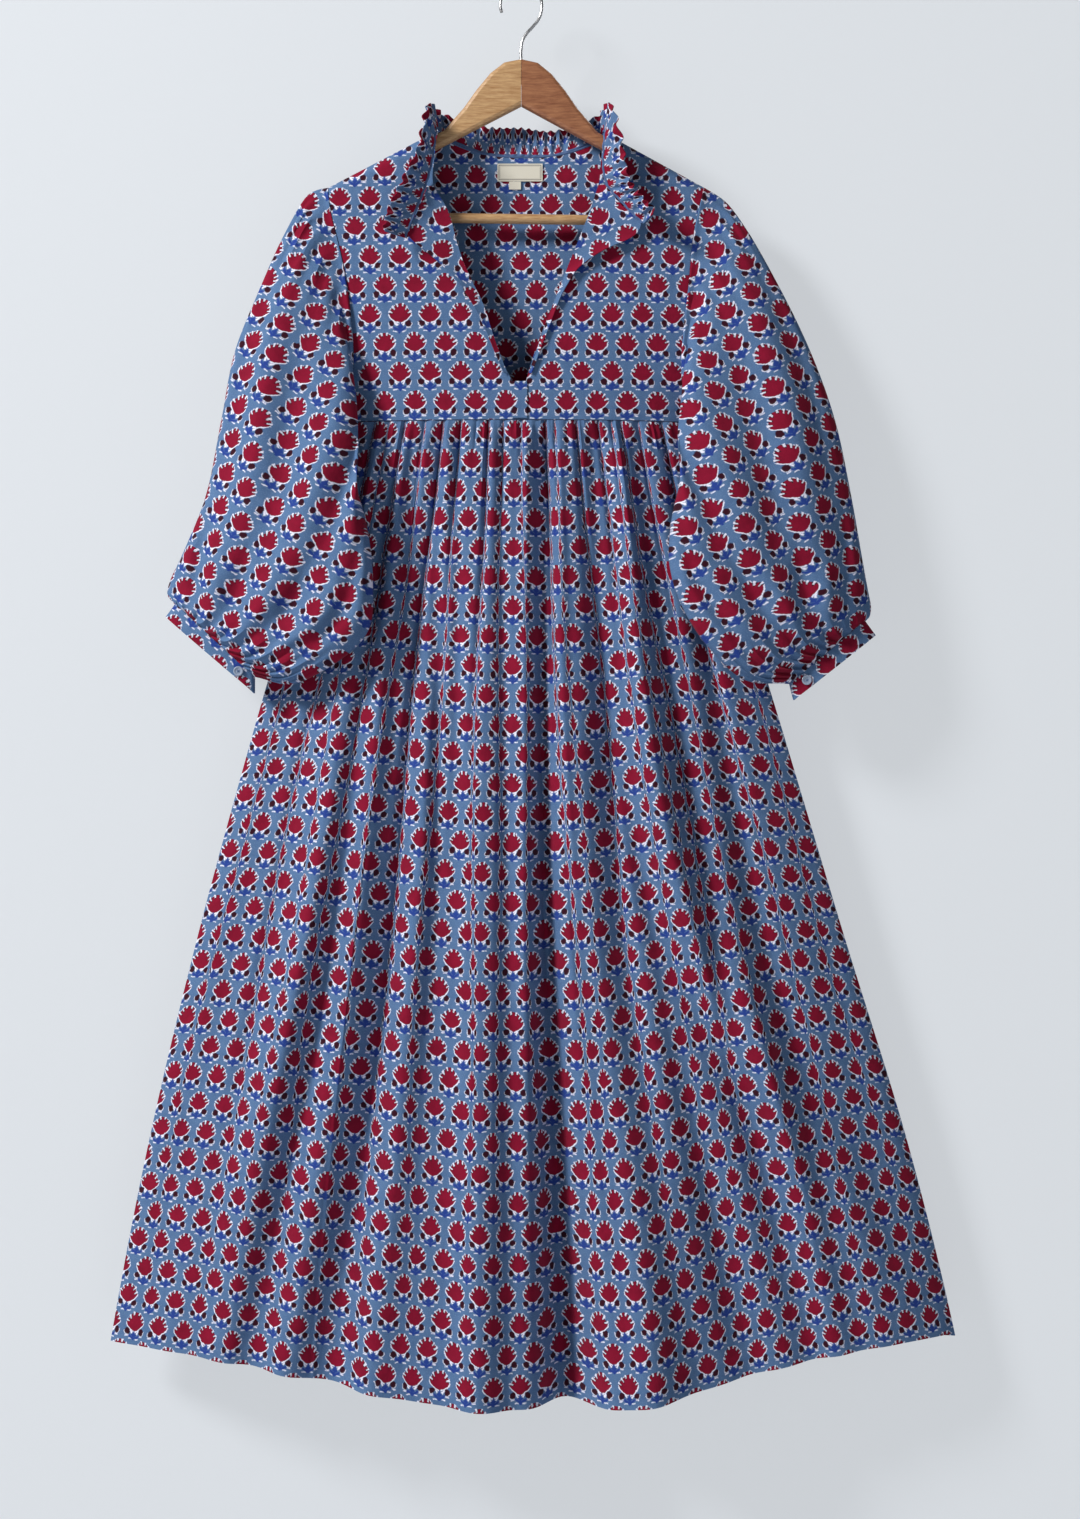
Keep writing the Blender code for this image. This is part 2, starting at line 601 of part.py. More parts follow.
def arm_top(distance, side):
    """Drop of the straight stretch of an arm's top edge, just under the shoulder seam."""
    return shoulder_drop(side * distance) + BOARD_UNDER_CLOTH


def hanger_arm(side, material, cutter):
    """One wooden half of the hanger, a flat board with rounded edges and a lug for the bar."""
    tilt = HANG_TILT * side
    top = [(d, drop + tilt * d) for d, drop in CROWN]
    top += [(d, arm_top(d, side)) for d in (78.0, BOARD_END - 6.0)]
    end = arm_top(BOARD_END, side)
    lug = LUG_DROP + tilt * BOARD_END
    tip = [(BOARD_END, end + 5.0), (BOARD_END, lug), (LUG_START, lug)]
    middle = MITRE_GAP / 2

    def underside(distance):
        return ARM_UNDERSIDE_DROP + (ARM_UNDERSIDE_SLOPE + tilt) * distance
    under = [(LUG_START, underside(LUG_START)), (middle, underside(middle))]
    bm = bmesh.new()
    rim = [bm.verts.new((side * d * MM, -BOARD / 2 * MM, -drop * MM)) for d, drop in top + tip + under]
    outline = [bm.edges.new(pair) for pair in zip(rim, rim[1:] + rim[:1])]
    face = bmesh.ops.edgeloop_fill(bm, edges=outline)["faces"]
    block = bmesh.ops.extrude_face_region(bm, geom=face)
    moved = [item for item in block["geom"] if isinstance(item, bmesh.types.BMVert)]
    bmesh.ops.translate(bm, verts=moved, vec=(0.0, BOARD * MM, 0.0))
    long_edges = [e for e in bm.edges if abs(e.verts[0].co.y - e.verts[1].co.y) < 1e-6
                  and max(abs(e.verts[0].co.x), abs(e.verts[1].co.x)) > 1.0 * MM]
    bmesh.ops.bevel(bm, geom=long_edges, offset=BOARD_BEVEL * MM, offset_type="OFFSET",
                    segments=2, profile=0.5, affect="EDGES", material=-1, clamp_overlap=True)
    bmesh.ops.recalc_face_normals(bm, faces=bm.faces)
    arm = finish_object("hanger_arm_left" if side < 0 else "hanger_arm_right", bm, material)
    socket = arm.modifiers.new("hook_socket", "BOOLEAN")
    socket.operation = "DIFFERENCE"
    socket.solver = "EXACT"
    socket.object = cutter
    return arm


def hook_socket():
    """Cutter for the hole that the hook's stem stands in, half of it in each arm."""
    bm = bmesh.new()
    bmesh.ops.create_cone(bm, cap_ends=True, segments=12, radius1=(WIRE / 2 + SEAM_GAP) * MM,
                          radius2=(WIRE / 2 + SEAM_GAP) * MM, depth=60.0 * MM)
    bmesh.ops.translate(bm, verts=bm.verts, vec=(0.0, 0.0, (30.0 - STEM_FOOT - SEAM_GAP) * MM))
    mesh = bpy.data.meshes.new("hook_socket_cutter")
    bm.to_mesh(mesh)
    bm.free()
    cutter = bpy.data.objects.new("hook_socket_cutter", mesh)
    cutter.hide_render = True
    cutter.display_type = "WIRE"
    bpy.data.collections[CUTTERS].objects.link(cutter)
    return cutter


def tube_object(name, path, diameter, material, resolution):
    """Round rod along a list of points in millimetres."""
    curve = bpy.data.curves.new(name, "CURVE")
    curve.dimensions = "3D"
    curve.bevel_depth = diameter / 2 * MM
    curve.bevel_resolution = resolution
    curve.use_fill_caps = True
    spline = curve.splines.new("POLY")
    spline.points.add(len(path) - 1)
    for point, place in zip(spline.points, path):
        point.co = (*(value * MM for value in place), 1.0)
    curve.materials.append(material)
    rod = bpy.data.objects.new(name, curve)
    bpy.data.collections[COLLECTION].objects.link(rod)
    return rod


def hook_path():
    """Stem up out of the wood, a sideways bend, then the hook over the top to its tip."""
    centre = -(HOOK_RADIUS - WIRE / 2)
    path = [(0.0, 0.0, -STEM_FOOT), (0.0, 0.0, -78.0), (0.0, 0.0, -64.0), (1.5, 0.0, -55.0),
            (6.0, 0.0, -47.5), (12.0, 0.0, -41.0), (17.5, 0.0, -34.0), (20.3, 0.0, -26.5)]
    for step in range(17):
        angle = math.radians(200.0 * step / 16)
        path.append((HOOK_RADIUS * math.cos(angle), 0.0, centre + HOOK_RADIUS * math.sin(angle)))
    return path


def button(name, surface, share, material):
    """Round button with a raised rim, standing on a cuff's front."""
    profile = [(0.0, 0.55), (3.0, 0.55), (3.6, 1.2), (4.4, 1.2), (5.0, 0.7), (5.0, -0.7), (4.0, -1.2),
               (0.0, -1.2)]
    bm = bmesh.new()
    verts = [bm.verts.new((r * BUTTON_RADIUS / 5.0 * MM, 0.0, z * BUTTON_THICKNESS / 2.4 * MM))
             for r, z in profile]
    for low, high in zip(verts, verts[1:]):
        bm.edges.new((low, high))
    knob = finish_object(name, bm, material)
    turn = knob.modifiers.new("turn", "SCREW")
    turn.steps = 14
    turn.render_steps = 14
    turn.use_merge_vertices = True
    turn.merge_threshold = 0.00001
    u, v = np.array([share]), np.array([0.5])
    normal = surface_normals(surface, u, v, (), True)[0]
    place = surface(u, v)[0] + normal * (SEAM_GAP + BUTTON_THICKNESS / 2)
    knob.location = tuple(place * MM)
    yaw = math.atan2(normal[1], normal[0])
    tilt = math.acos(normal[2])
    knob.rotation_euler = (0.0, tilt, yaw)
    return knob


def make_dress():
    cotton = make_material("printed_cotton", (0.16, 0.22, 0.36), 0.85)
    facing = make_material("printed_facing", (0.19, 0.26, 0.42), 0.85)
    ruffle = make_material("printed_ruffle", (0.14, 0.19, 0.33), 0.85)
    pearl = make_material("button_shell", (0.55, 0.60, 0.68), 0.35)
    tape = make_material("label_tape", (0.78, 0.76, 0.68), 0.8)
    seams = (("top", 1), ("foot", 2))
    for side, name in ((-1, "front_yoke_left"), (1, "front_yoke_right")):
        cloth_object(name, flat_grid(9, 14), front_yoke(side), cotton, pins=seams)
    back_seams = (("shoulders", 1), ("foot", 2))
    cloth_object("back_yoke", flat_grid(22, 14), back_yoke, cotton, pins=back_seams)
    sides = (("top", 2), ("start", 1), ("end", 1))
    cloth_object("skirt_front", flat_grid(2 * GATHERS, 14), skirt(True), cotton, pins=sides)
    cloth_object("skirt_back", flat_grid(2 * GATHERS, 9), skirt(False), cotton, pins=sides)
    for side, name, table in ((-1, "sleeve_left", SLEEVE_LEFT), (1, "sleeve_right", SLEEVE_RIGHT)):
        cloth_object(name, tube_grid(2 * SLEEVE_GATHERS, SLEEVE_ROWS), sleeve(side, table), cotton,
                     thickness=SLEEVE_CLOTH, closed=True, pins=(("top", 0),),
                     reach=(0.5 / SLEEVE_GATHERS, 1 / SLEEVE_ROWS))
    for side, name, table in ((-1, "cuff_left", CUFF_LEFT), (1, "cuff_right", CUFF_RIGHT)):
        band = cuff(side, table)
        cloth_object(name, tube_grid(20, 2), band, cotton, thickness=1.8, closed=True)
        share = BUTTON_SHARE if side < 0 else 1 - BUTTON_SHARE
        button(name.replace("cuff", "cuff_button"), band, share, pearl)
    for side, name, table in ((-1, "slit_facing_left", LAPEL_LEFT), (1, "slit_facing_right", LAPEL_RIGHT)):
        cloth_object(name, flat_grid(4, 14), lapel(side, table), facing)
    cloth_object("placket", flat_grid(2, 3), placket, facing)
    cloth_object("collar_ruffle", flat_grid(2 * COLLAR_WAVES, 3), collar, ruffle, thickness=1.1)
    label = label_surface(-1.4, LABEL_WIDTH, LABEL_DROP - LABEL_HEIGHT / 2, LABEL_HEIGHT)
    tab = label_surface(TAB_X, TAB_WIDTH, LABEL_DROP + LABEL_HEIGHT / 2 + SEAM_GAP, TAB_HEIGHT)
    cloth_object("neck_label", flat_grid(2, 1), label, tape, thickness=LABEL_THICKNESS)
    cloth_object("size_tab", flat_grid(1, 1), tab, tape, thickness=LABEL_THICKNESS)


def make_hanger():
    pale = make_material("pale_wood", (0.55, 0.38, 0.20), 0.45)
    brown = make_material("brown_wood", (0.45, 0.25, 0.13), 0.45)
    steel = make_material("hook_steel", (0.62, 0.62, 0.62), 0.25, 1.0)
    cutter = hook_socket()
    hanger_arm(-1, pale, cutter)
    hanger_arm(1, brown, cutter)
    reach = LUG_START - SEAM_GAP
    bar = [(x, 0.0, -BAR_DROP - HANG_TILT * x) for x in (-reach, reach)]
    tube_object("trouser_bar", bar, BAR, pale, 3)
    tube_object("hanger_hook", hook_path(), WIRE, steel, 2)


COLLECTION = "printed_dress_on_hanger"
CUTTERS = "cutters"


def main():
    for thing in list(bpy.data.objects):
        bpy.data.objects.remove(thing, do_unlink=True)
    for name in (COLLECTION, CUTTERS):
        bpy.context.scene.collection.children.link(bpy.data.collections.new(name))
    make_dress()
    make_hanger()


main()
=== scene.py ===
"""Looks of the printed cotton dress on its wooden hanger: cloth, print, sewing, wood and steel.

Tables are in millimetres. A drop is the distance down from the inner top of the hook. X is
the left to right of the front view and -Y is the front.
"""
import math

import bmesh
import bpy
import mathutils
import numpy as np
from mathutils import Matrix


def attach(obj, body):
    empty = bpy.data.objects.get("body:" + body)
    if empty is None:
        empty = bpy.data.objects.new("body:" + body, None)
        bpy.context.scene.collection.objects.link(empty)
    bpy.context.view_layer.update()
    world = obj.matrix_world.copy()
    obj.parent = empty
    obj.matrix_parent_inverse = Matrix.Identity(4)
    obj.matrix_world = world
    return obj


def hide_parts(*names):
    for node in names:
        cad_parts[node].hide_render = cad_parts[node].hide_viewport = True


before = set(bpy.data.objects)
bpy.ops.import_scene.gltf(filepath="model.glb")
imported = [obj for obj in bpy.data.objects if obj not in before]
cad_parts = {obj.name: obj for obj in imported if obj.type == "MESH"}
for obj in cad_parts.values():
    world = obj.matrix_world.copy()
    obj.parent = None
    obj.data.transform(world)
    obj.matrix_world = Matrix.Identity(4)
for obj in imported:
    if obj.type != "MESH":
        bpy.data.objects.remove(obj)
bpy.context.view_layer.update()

MM = 0.001


def table(*rows):
    """Rows of numbers as an array of floats."""
    return np.array(rows, dtype=float)


# Cloth and seams
CLOTH = 1.2
SEAM_GAP = 0.3
YOKE_DROP = 443.0

# Shoulder line, which both the hanger and the dress follow
SHOULDER_DROP = 150.5
SHOULDER_REACH = 88.0
SHOULDER_SLOPE = 0.53
HANG_TILT = 0.014
SHOULDER_ROLL = 12.0
# Where each shoulder seam ends, and the column of a side in the tables, for -1 left and 1 right
SHOULDER_END = {-1: -195.0, 1: 185.0}
COLUMN = {-1: 0, 1: 1}
NECK_HALF = 84.0
BACK_NECK_DIP = 20.5
BACK_NECK_DROP = 169.0
# Share of the back yoke's top edge that each shoulder seam takes
SHOULDER_SHARE = 6 / 22

# Hem
HEM_DROP_FRONT = 1421.0
HEM_RISE_LEFT = 47.0
HEM_RISE_RIGHT = 55.0
HEM_DROP_BACK = 1405.0
HEM_RISE_BACK = 36.0

# Cross-sections of the body: drop, centre, half width, depth in front of the side seams,
# depth behind them, and how far behind the origin the side seams lie
BODY = table(
    (150, -4, 247, 17, 17, 0),
    (300, -4, 247, 19, 17, 0),
    (400, -4.3, 196, 22.5, 16.2, 0),
    (436, -4.5, 182.8, 23.6, 16, 0),
    (443, -4.5, 182.5, 24, 16, 0),
    (452, -4.5, 184.9, 24.6, 16, 0.1),
    (600, -4.5, 223, 34, 17, 4),
    (754, -3.3, 268.5, 44, 18, 6),
    (956, -0.5, 326.5, 56, 20, 7),
    (1184, 7.3, 388.5, 68, 21, 8),
    (1375, 12.4, 430, 78, 22, 8),
    (1435, 13.5, 441, 82, 22, 8),
)

# Armhole seams: drop, left x, right x
ARMHOLE = table(
    (204.5, -195, 185),
    (232, -191.5, 178),
    (262, -184, 172.5),
    (300, -176, 169),
    (345, -170.5, 164.5),
    (385, -169, 161.5),
    (415, -172, 163.5),
    (433, -177.5, 168.5),
    (443, -182, 173),
)

# Edges of the neck and of the slit below it: drop, left x, right x
NECK = table(
    (149.7, -84, 84),
    (176, -87, 81),
    (205, -88, 78),
    (229, -75, 70),
    (278, -60, 51),
    (329, -37, 31),
    (372, -24, 14.5),
    (408, -8, 4),
    (443, -2.15, -1.85),
)

# Turned-back slit facings: drop, folded edge, free edge, and stand-off of the free edge
LAPEL = {-1: table(
    (208, -87.3, -94, 2),
    (234, -72.6, -104, 5),
    (258, -66, -113, 7),
    (267, -63.4, -104, 7),
    (280, -59.3, -88, 6),
    (300, -50.5, -67, 5),
    (330, -36.6, -46.5, 3.5),
    (355, -28.8, -34.5, 2.5),
    (396, -14, -17.5, 1.8),
), 1: table(
    (206, 77.6, 84, 2),
    (226, 71.2, 100, 5),
    (248, 63, 120, 7.5),
    (259, 58.6, 112, 7.5),
    (272, 53.4, 84, 6.5),
    (288, 47, 60, 5),
    (309, 38.8, 45, 4),
    (347, 24.4, 29, 2.5),
    (396, 7.6, 10.5, 1.8),
)}

# Base of the collar ruffle from the left lapel round the back to the right lapel:
# share of its length, x, y, drop, then the direction in which the ruffle stands
COLLAR = table(
    (0.00, -116.5, -26.5, 261, -0.72, -0.66, 0.10),
    (0.06, -106.5, -24.5, 235, -0.86, -0.50, 0.05),
    (0.12, -96, -21.5, 207, -0.72, -0.68, 0.05),
    (0.18, -89, -20.5, 178, -0.42, -0.85, 0.28),
    (0.225, -86, -17.5, 154, -0.34, -0.60, 0.72),
    (0.26, -85, -3, 144.5, -0.25, -0.22, 0.94),
    (0.30, -80, 14, 147.5, -0.12, 0.10, 0.98),
    (0.36, -50, 16.6, 161, 0, 0.14, 0.99),
    (0.50, 0, 16.6, 167.4, 0, 0.14, 0.99),
    (0.64, 50, 16.6, 162.4, 0, 0.14, 0.99),
    (0.70, 80, 14, 149.5, 0.06, 0.10, 0.98),
    (0.74, 85, -3, 147, 0.08, -0.22, 0.96),
    (0.775, 84, -17.5, 157, 0.30, -0.62, 0.70),
    (0.82, 82.5, -20.5, 180, 0.62, -0.74, 0.20),
    (0.88, 86, -21.5, 205, 0.74, -0.64, -0.02),
    (0.94, 102.5, -24.5, 226, 0.62, -0.76, 0.12),
    (1.00, 122.5, -27, 247, 0.40, -0.86, 0.24),
)
COLLAR_HEIGHT = 29.0
COLLAR_WAVES = 44
COLLAR_SWING_SEAM = 0.5
COLLAR_SWING_EDGE = 3.0

# Folds of the skirt front: x at the yoke, at mid length and at the hem, then how far the
# cloth stands out there (a trough is negative), then its half width there
FRONT_FOLDS = table(
    (22, 22, 42, -3, -9, -24, 9, 16, 38),
    (-40, -38, -44, 1, 7, 18, 22, 34, 56),
    (-85, -84, -95, -3, -6, -2, 7, 11, 24),
    (-108, -135, -165, -3, -3, 0, 8, 12, 20),
    (-95, -119, -200, 0, -5, -7, 9, 13, 26),
    (50, 68, 130, 2, 5, 8, 8, 14, 28),
    (70, 97, 165, -3, -6, -4, 8, 12, 24),
    (95, 165, 425, 2, 10, 4, 10, 22, 26),
    (62, 126, 370, 0, -6, -5, 10, 18, 24),
    (190, 297, 405, 0, -4, 0, 10, 14, 20),
    (-140, -196, -350, 1, 8, 6, 12, 24, 32),
    (-185, -270, -400, 0, -5, -2, 12, 18, 24),
    (120, 130, 130, 0, 3, 17, 20, 32, 50),
)
# Folds of the skirt back, in the same columns
BACK_FOLDS = table(
    (-120, -160, -230, 2, 4, 3, 16, 30, 44),
    (-60, -70, -95, -3, -5, -7, 10, 18, 34),
    (10, 10, 15, 1.5, 3, 3, 16, 30, 44),
    (70, 95, 130, -3, -6, -8, 10, 18, 34),
    (130, 185, 260, 2, 4, 3, 14, 28, 40),
)
FOLD_DROPS = (YOKE_DROP, 900.0, 1400.0)
GATHERS = 30

# Sleeve sections from the shoulder to the cuff: outer point x and drop, inner point x and
# drop, bow of the front towards the body, outer y, inner y, depth in front and behind
SLEEVE = {-1: table(
    (-195, 204.5, -182, 442.5, 20, 0, 0, 12, 10),
    (-215, 211, -188, 447, 24, -1, -2, 15, 10),
    (-239, 251, -190.5, 453, 37, -2, -6, 21, 13),
    (-267, 314, -187, 466, 47, -3, -14, 26, 16),
    (-289, 370, -177, 485, 46, -3, -22, 30, 19),
    (-303, 440, -164, 514, 34, -3, -34, 33, 20),
    (-318, 515, -153, 552, 16, -4, -43, 34, 21),
    (-341, 574, -147, 604, 5, -5, -47, 33, 20),
    (-354, 602, -151, 655, 0, -6, -49, 30, 18),
    (-357, 616, -178, 684, 0, -8, -48, 26, 14),
    (-353, 623, -226, 708, 0, -10, -38, 20, 11),
    (-348, 626, -266, 701, 0, -12, -28, 12, 9),
), 1: table(
    (185, 204.5, 173, 442.5, 20, 0, 0, 12, 10),
    (206, 218, 177.5, 447, 20, -1, -2, 15, 10),
    (229, 249, 181.5, 453, 33, -2, -6, 21, 13),
    (262, 308, 178, 466, 43, -3, -14, 26, 16),
    (291, 368, 167, 486, 44, -3, -22, 30, 19),
    (317, 440, 157, 514, 32, -3, -34, 33, 20),
    (333, 515, 149, 550, 12, -4, -43, 34, 21),
    (344, 578, 148, 594, 4, -5, -47, 33, 20),
    (350, 612, 162, 636, 0, -6, -49, 30, 18),
    (353, 630, 186, 672, 0, -8, -48, 26, 14),
    (351, 640, 222, 704, 0, -10, -40, 20, 11),
    (346, 643, 268, 708, 0, -12, -30, 12, 9),
)}
# Where the stations above lie along the sleeve
SLEEVE_SHARES = np.array([0.0, 0.06, 0.13, 0.22, 0.32, 0.44, 0.56, 0.68, 0.78, 0.86, 0.93, 1.0])
SLEEVE_GATHERS = 14
HEAD_SWELL = 2.08
CUFF_SWELL = 3.12
UNDERARM_DROP = 400.0
SLEEVE_CLEARANCE = 3.4
EDGE_MARGIN = 2.5
EDGE_WRAP = 1.2
SLEEVE_HOLLOW = 7.0
# Outermost reach of the body beside the armholes, which the sleeves pass in front of below
# it: drop, left x, right x
BODY_EDGE = table(
    (204.5, -195, 185),
    (300, -176, 169),
    (385, -170, 162),
    (420, -177, 168.5),
    (443, -187, 178),
    (452, -189.4, 180.4),
    (470, -194.2, 185.2),
)

# Cuff bands: outer point x and drop, inner point x and drop, outer y, inner y, depth in
# front and behind; the seam to the sleeve first, then the open edge
CUFF = {-1: table(
    (-348, 626, -266, 701, -12, -28, 12, 9),
    (-358, 639.5, -266, 717, -12, -28, 12.5, 9),
), 1: table(
    (346, 643, 268, 708, -12, -30, 12, 9),
    (357, 658, 272, 724, -12, -30, 12.5, 9),
)}
BUTTON_THICKNESS = 2.4
BUTTON_SHARE = 0.36

# Labels, placket
LABEL_WIDTH = 46.0
LABEL_HEIGHT = 18.0
LABEL_DROP = 185.0
TAB_WIDTH = 12.0
TAB_HEIGHT = 8.0
LABEL_X = -1.4
TAB_X = -6.5
LABEL_THICKNESS = 0.8
PLACKET_LEFT = -9.0
PLACKET_RIGHT = 6.0
PLACKET_TOP = 404.0
PLACKET_FOOT = 441.0

# Hanger
WIRE = 3.2
HOOK_RADIUS = 21.0
STEM_FOOT = 100.0
LUG_START = 164.0
BAR = 10.0
BAR_DROP = 236.0

# Fabric that goes into each panel, more than shows: half the width of a skirt panel's cut,
# and the length from the yoke to the hem
SKIRT_HALF_CUT = 500.0
SKIRT_LENGTH = 978.0
# Half width of the skirt at the yoke, and the cloth that shows there for each unit of width
TOP_HALF = 182.5
CLOTH_SHOWN = 1.12
# Spacing of the skirt's rows at the yoke, as a share of even spacing
TOP_SPACING = 0.62
# Pleat lines: how dense the columns are there, the half width of the groove and of the strip that
# swallows cloth at the yoke, how fast both widen on the way down, depth of the groove and height
# of the ridge beside it as shares of the depth in the table
DENSER = 3.0
DENSE_HALF = 0.018
GROOVE_HALF = 4.0
GROOVE_WIDENS = 0.010
SWALLOW_HALF = 1.1
SWALLOW_WIDENS = 0.005
GROOVE_DEPTH = 1.45
RIDGE_HEIGHT = 0.6
# Long pleats under the yoke: place across, depth, length, share of the fabric they swallow
FRONT_PLEATS = table(
    (-0.93, 3, 220, 0.9),
    (-0.78, 5, 300, 1.1),
    (-0.70, 3, 120, 0.6),
    (-0.61, 5, 420, 1),
    (-0.50, 3.5, 160, 0.8),
    (-0.40, 5.5, 460, 1.2),
    (-0.30, 4, 150, 0.9),
    (-0.15, 4.5, 300, 1.1),
    (-0.07, 3.5, 120, 0.7),
    (0.03, 3, 90, 0.7),
    (0.16, 6.5, 520, 1.3),
    (0.21, 3, 110, 0.6),
    (0.33, 4.5, 380, 1.1),
    (0.45, 4, 200, 0.8),
    (0.52, 3.5, 130, 0.7),
    (0.575, 5, 480, 1.1),
    (0.67, 3.5, 170, 0.8),
    (0.80, 5, 330, 1.1),
    (0.93, 3, 200, 0.9),
)
BACK_PLEATS = table(
    (-0.90, 3, 200, 1),
    (-0.76, 4, 300, 1.1),
    (-0.62, 3, 130, 0.8),
    (-0.47, 4.5, 380, 1.2),
    (-0.33, 3, 150, 0.9),
    (-0.20, 4, 320, 1),
    (-0.08, 3, 120, 0.8),
    (0.06, 4.5, 400, 1.2),
    (0.19, 3, 140, 0.8),
    (0.31, 4, 300, 1.1),
    (0.44, 3, 160, 0.8),
    (0.58, 4.5, 360, 1.2),
    (0.72, 3.5, 180, 0.9),
    (0.88, 3.5, 220, 1),
)

# Print: width and height of one sprig's field, alternate rows stepped by half
SPRIG_ACROSS = 30.5
SPRIG_DOWN = 29.5
# How far the hand-set blocks stray, the height of a flower's middle over its field's middle and
# of that middle over the point its teeth spread from
WOBBLE = 4.2
SPRIG_MIDDLE = 4.4
FLOWER_FOOT = 4.2
# Teeth: angle from one to the next, depth, and the angle from straight up at which they end
TOOTH_TURN = 0.42
TOOTH_DEPTH = 5.0
LOWEST_TOOTH = 1.22

# Narrow creases of the skirt front on top of the main folds, in the same columns
FRONT_CREASES = table(
    (-62, -66, -72, -1.5, -4, -6, 5, 9, 20),
    (-20, -14, -6, -1.5, -4, -8, 5, 9, 22),
    (4, 6, 10, 2, 5, 9, 6, 10, 20),
    (22, 24, 44, -2, -6, -8, 4, 8, 20),
    (38, 46, 84, 1.5, 5, 8, 6, 10, 20),
    (84, 122, 232, -2, -4, -7, 6, 12, 24),
    (108, 178, 300, -2, -7, -8, 6, 12, 24),
    (96, 150, 372, 2, 8, 10, 9, 18, 30),
    (132, 205, 322, 1, 4, 6, 7, 14, 24),
    (150, 228, 345, -1.5, -5, -6, 6, 12, 22),
    (-118, -158, -236, 1, 5, 6, 7, 12, 22),
    (-128, -180, -270, -1.5, -6, -6, 6, 11, 22),
    (-150, -206, -300, 1, 5, 5, 7, 12, 22),
    (-165, -240, -340, -1, -5, -6, 6, 12, 24),
    (-70, -100, -150, 0.5, 4, 7, 7, 12, 24),
    (-90, -124, -180, -1, -4, -6, 5, 9, 20),
)
BACK_CREASES = table(
    (-140, -200, -310, -1, -3, -4, 6, 10, 20),
    (-90, -118, -165, 1, 3, 4, 6, 12, 22),
    (-30, -34, -40, -1, -2.5, -4, 5, 9, 20),
    (40, 52, 75, 1, 2.5, 4, 6, 10, 20),
    (100, 140, 200, -1, -3, -4, 6, 10, 22),
    (150, 220, 330, 1, 2.5, 3, 6, 12, 22),
)
# How strongly the creases show, and how much deeper the main folds are than in the solids
CREASE_STRENGTH = 1.7
FOLD_DEEPER = 0.45
SLEEVE_CREASE_STRENGTH = 1.4
# Creases of the sleeves: how far round, where along, lift, widths round and along, slant
SLEEVE_CREASES = table(
    (0.09, 0.34, -4.5, 0.028, 0.20, 0.06),
    (0.15, 0.40, 5, 0.030, 0.24, 0.05),
    (0.21, 0.46, -5, 0.024, 0.22, 0.06),
    (0.27, 0.42, 4.5, 0.028, 0.24, -0.02),
    (0.33, 0.48, -4.5, 0.024, 0.22, -0.06),
    (0.39, 0.44, 3.5, 0.028, 0.18, -0.06),
    (0.06, 0.66, 3.5, 0.024, 0.11, 0.16),
    (0.11, 0.72, -5, 0.018, 0.10, 0.20),
    (0.16, 0.78, 5, 0.018, 0.09, 0.16),
    (0.20, 0.74, -5, 0.016, 0.09, 0.05),
    (0.245, 0.80, 5, 0.018, 0.09, -0.04),
    (0.29, 0.76, -5, 0.016, 0.09, -0.10),
    (0.335, 0.81, 4.5, 0.018, 0.08, -0.14),
    (0.38, 0.75, -4.5, 0.018, 0.10, -0.18),
    (0.43, 0.70, 3, 0.024, 0.11, -0.20),
    (0.60, 0.45, 3, 0.040, 0.25, 0.05),
    (0.68, 0.60, -3.5, 0.030, 0.22, 0.08),
    (0.76, 0.50, 3.5, 0.032, 0.25, -0.05),
    (0.84, 0.62, -3.5, 0.028, 0.20, -0.06),
    (0.92, 0.50, 3, 0.036, 0.22, 0.04),
)


def smooth_row(rows, at):
    """Row of a table at any value of its first column, on a smooth curve through its rows."""
    keys = rows[:, 0]
    at = np.clip(np.asarray(at, dtype=float), keys[0], keys[-1])
    low = np.clip(np.searchsorted(keys, at, side="right") - 1, 0, len(keys) - 2)
    slopes = np.gradient(rows[:, 1:], keys, axis=0)
    span = (keys[low + 1] - keys[low])[..., None]
    t = (at - keys[low])[..., None] / span
    start, end = rows[low, 1:], rows[low + 1, 1:]
    rise, fall = slopes[low] * span, slopes[low + 1] * span
    return (start * (1 + 2 * t) * (1 - t) ** 2 + rise * t * (1 - t) ** 2
            + end * t * t * (3 - 2 * t) - fall * t * t * (1 - t))


def ease(t):
    """0 to 1 with flat ends."""
    t = np.clip(t, 0.0, 1.0)
    return t * t * (3 - 2 * t)


def cosine_share(v):
    """Spacing that is close at both ends; the yokes and the sleeve heads share it."""
    return (1 - np.cos(math.pi * v)) / 2


def blend(start, end, share):
    return start + (end - start) * share


def shoulder_drop(x):
    return SHOULDER_DROP + SHOULDER_SLOPE * (np.abs(x) - SHOULDER_REACH) + HANG_TILT * x


def neck_drop(x):
    """Back neck seam, a shallow dip between the shoulders."""
    return BACK_NECK_DROP + HANG_TILT * x - BACK_NECK_DIP * np.abs(x / NECK_HALF) ** 2.5


def body_span(drop):
    """Centre and half width of the body."""
    return np.moveaxis(smooth_row(BODY, drop)[..., :2], -1, 0)


def fullness(x, drop):
    """Share of the body's depth at a place, thin at the sides and rolled at the shoulder."""
    centre, half = body_span(drop)
    side = (1 - np.clip(np.abs(x - centre) / half, 0, 1) ** 2.2) ** 0.75
    below = np.clip((drop - shoulder_drop(x)) / SHOULDER_ROLL, 0, 1)
    return side * np.sqrt(1 - (1 - below) ** 2)


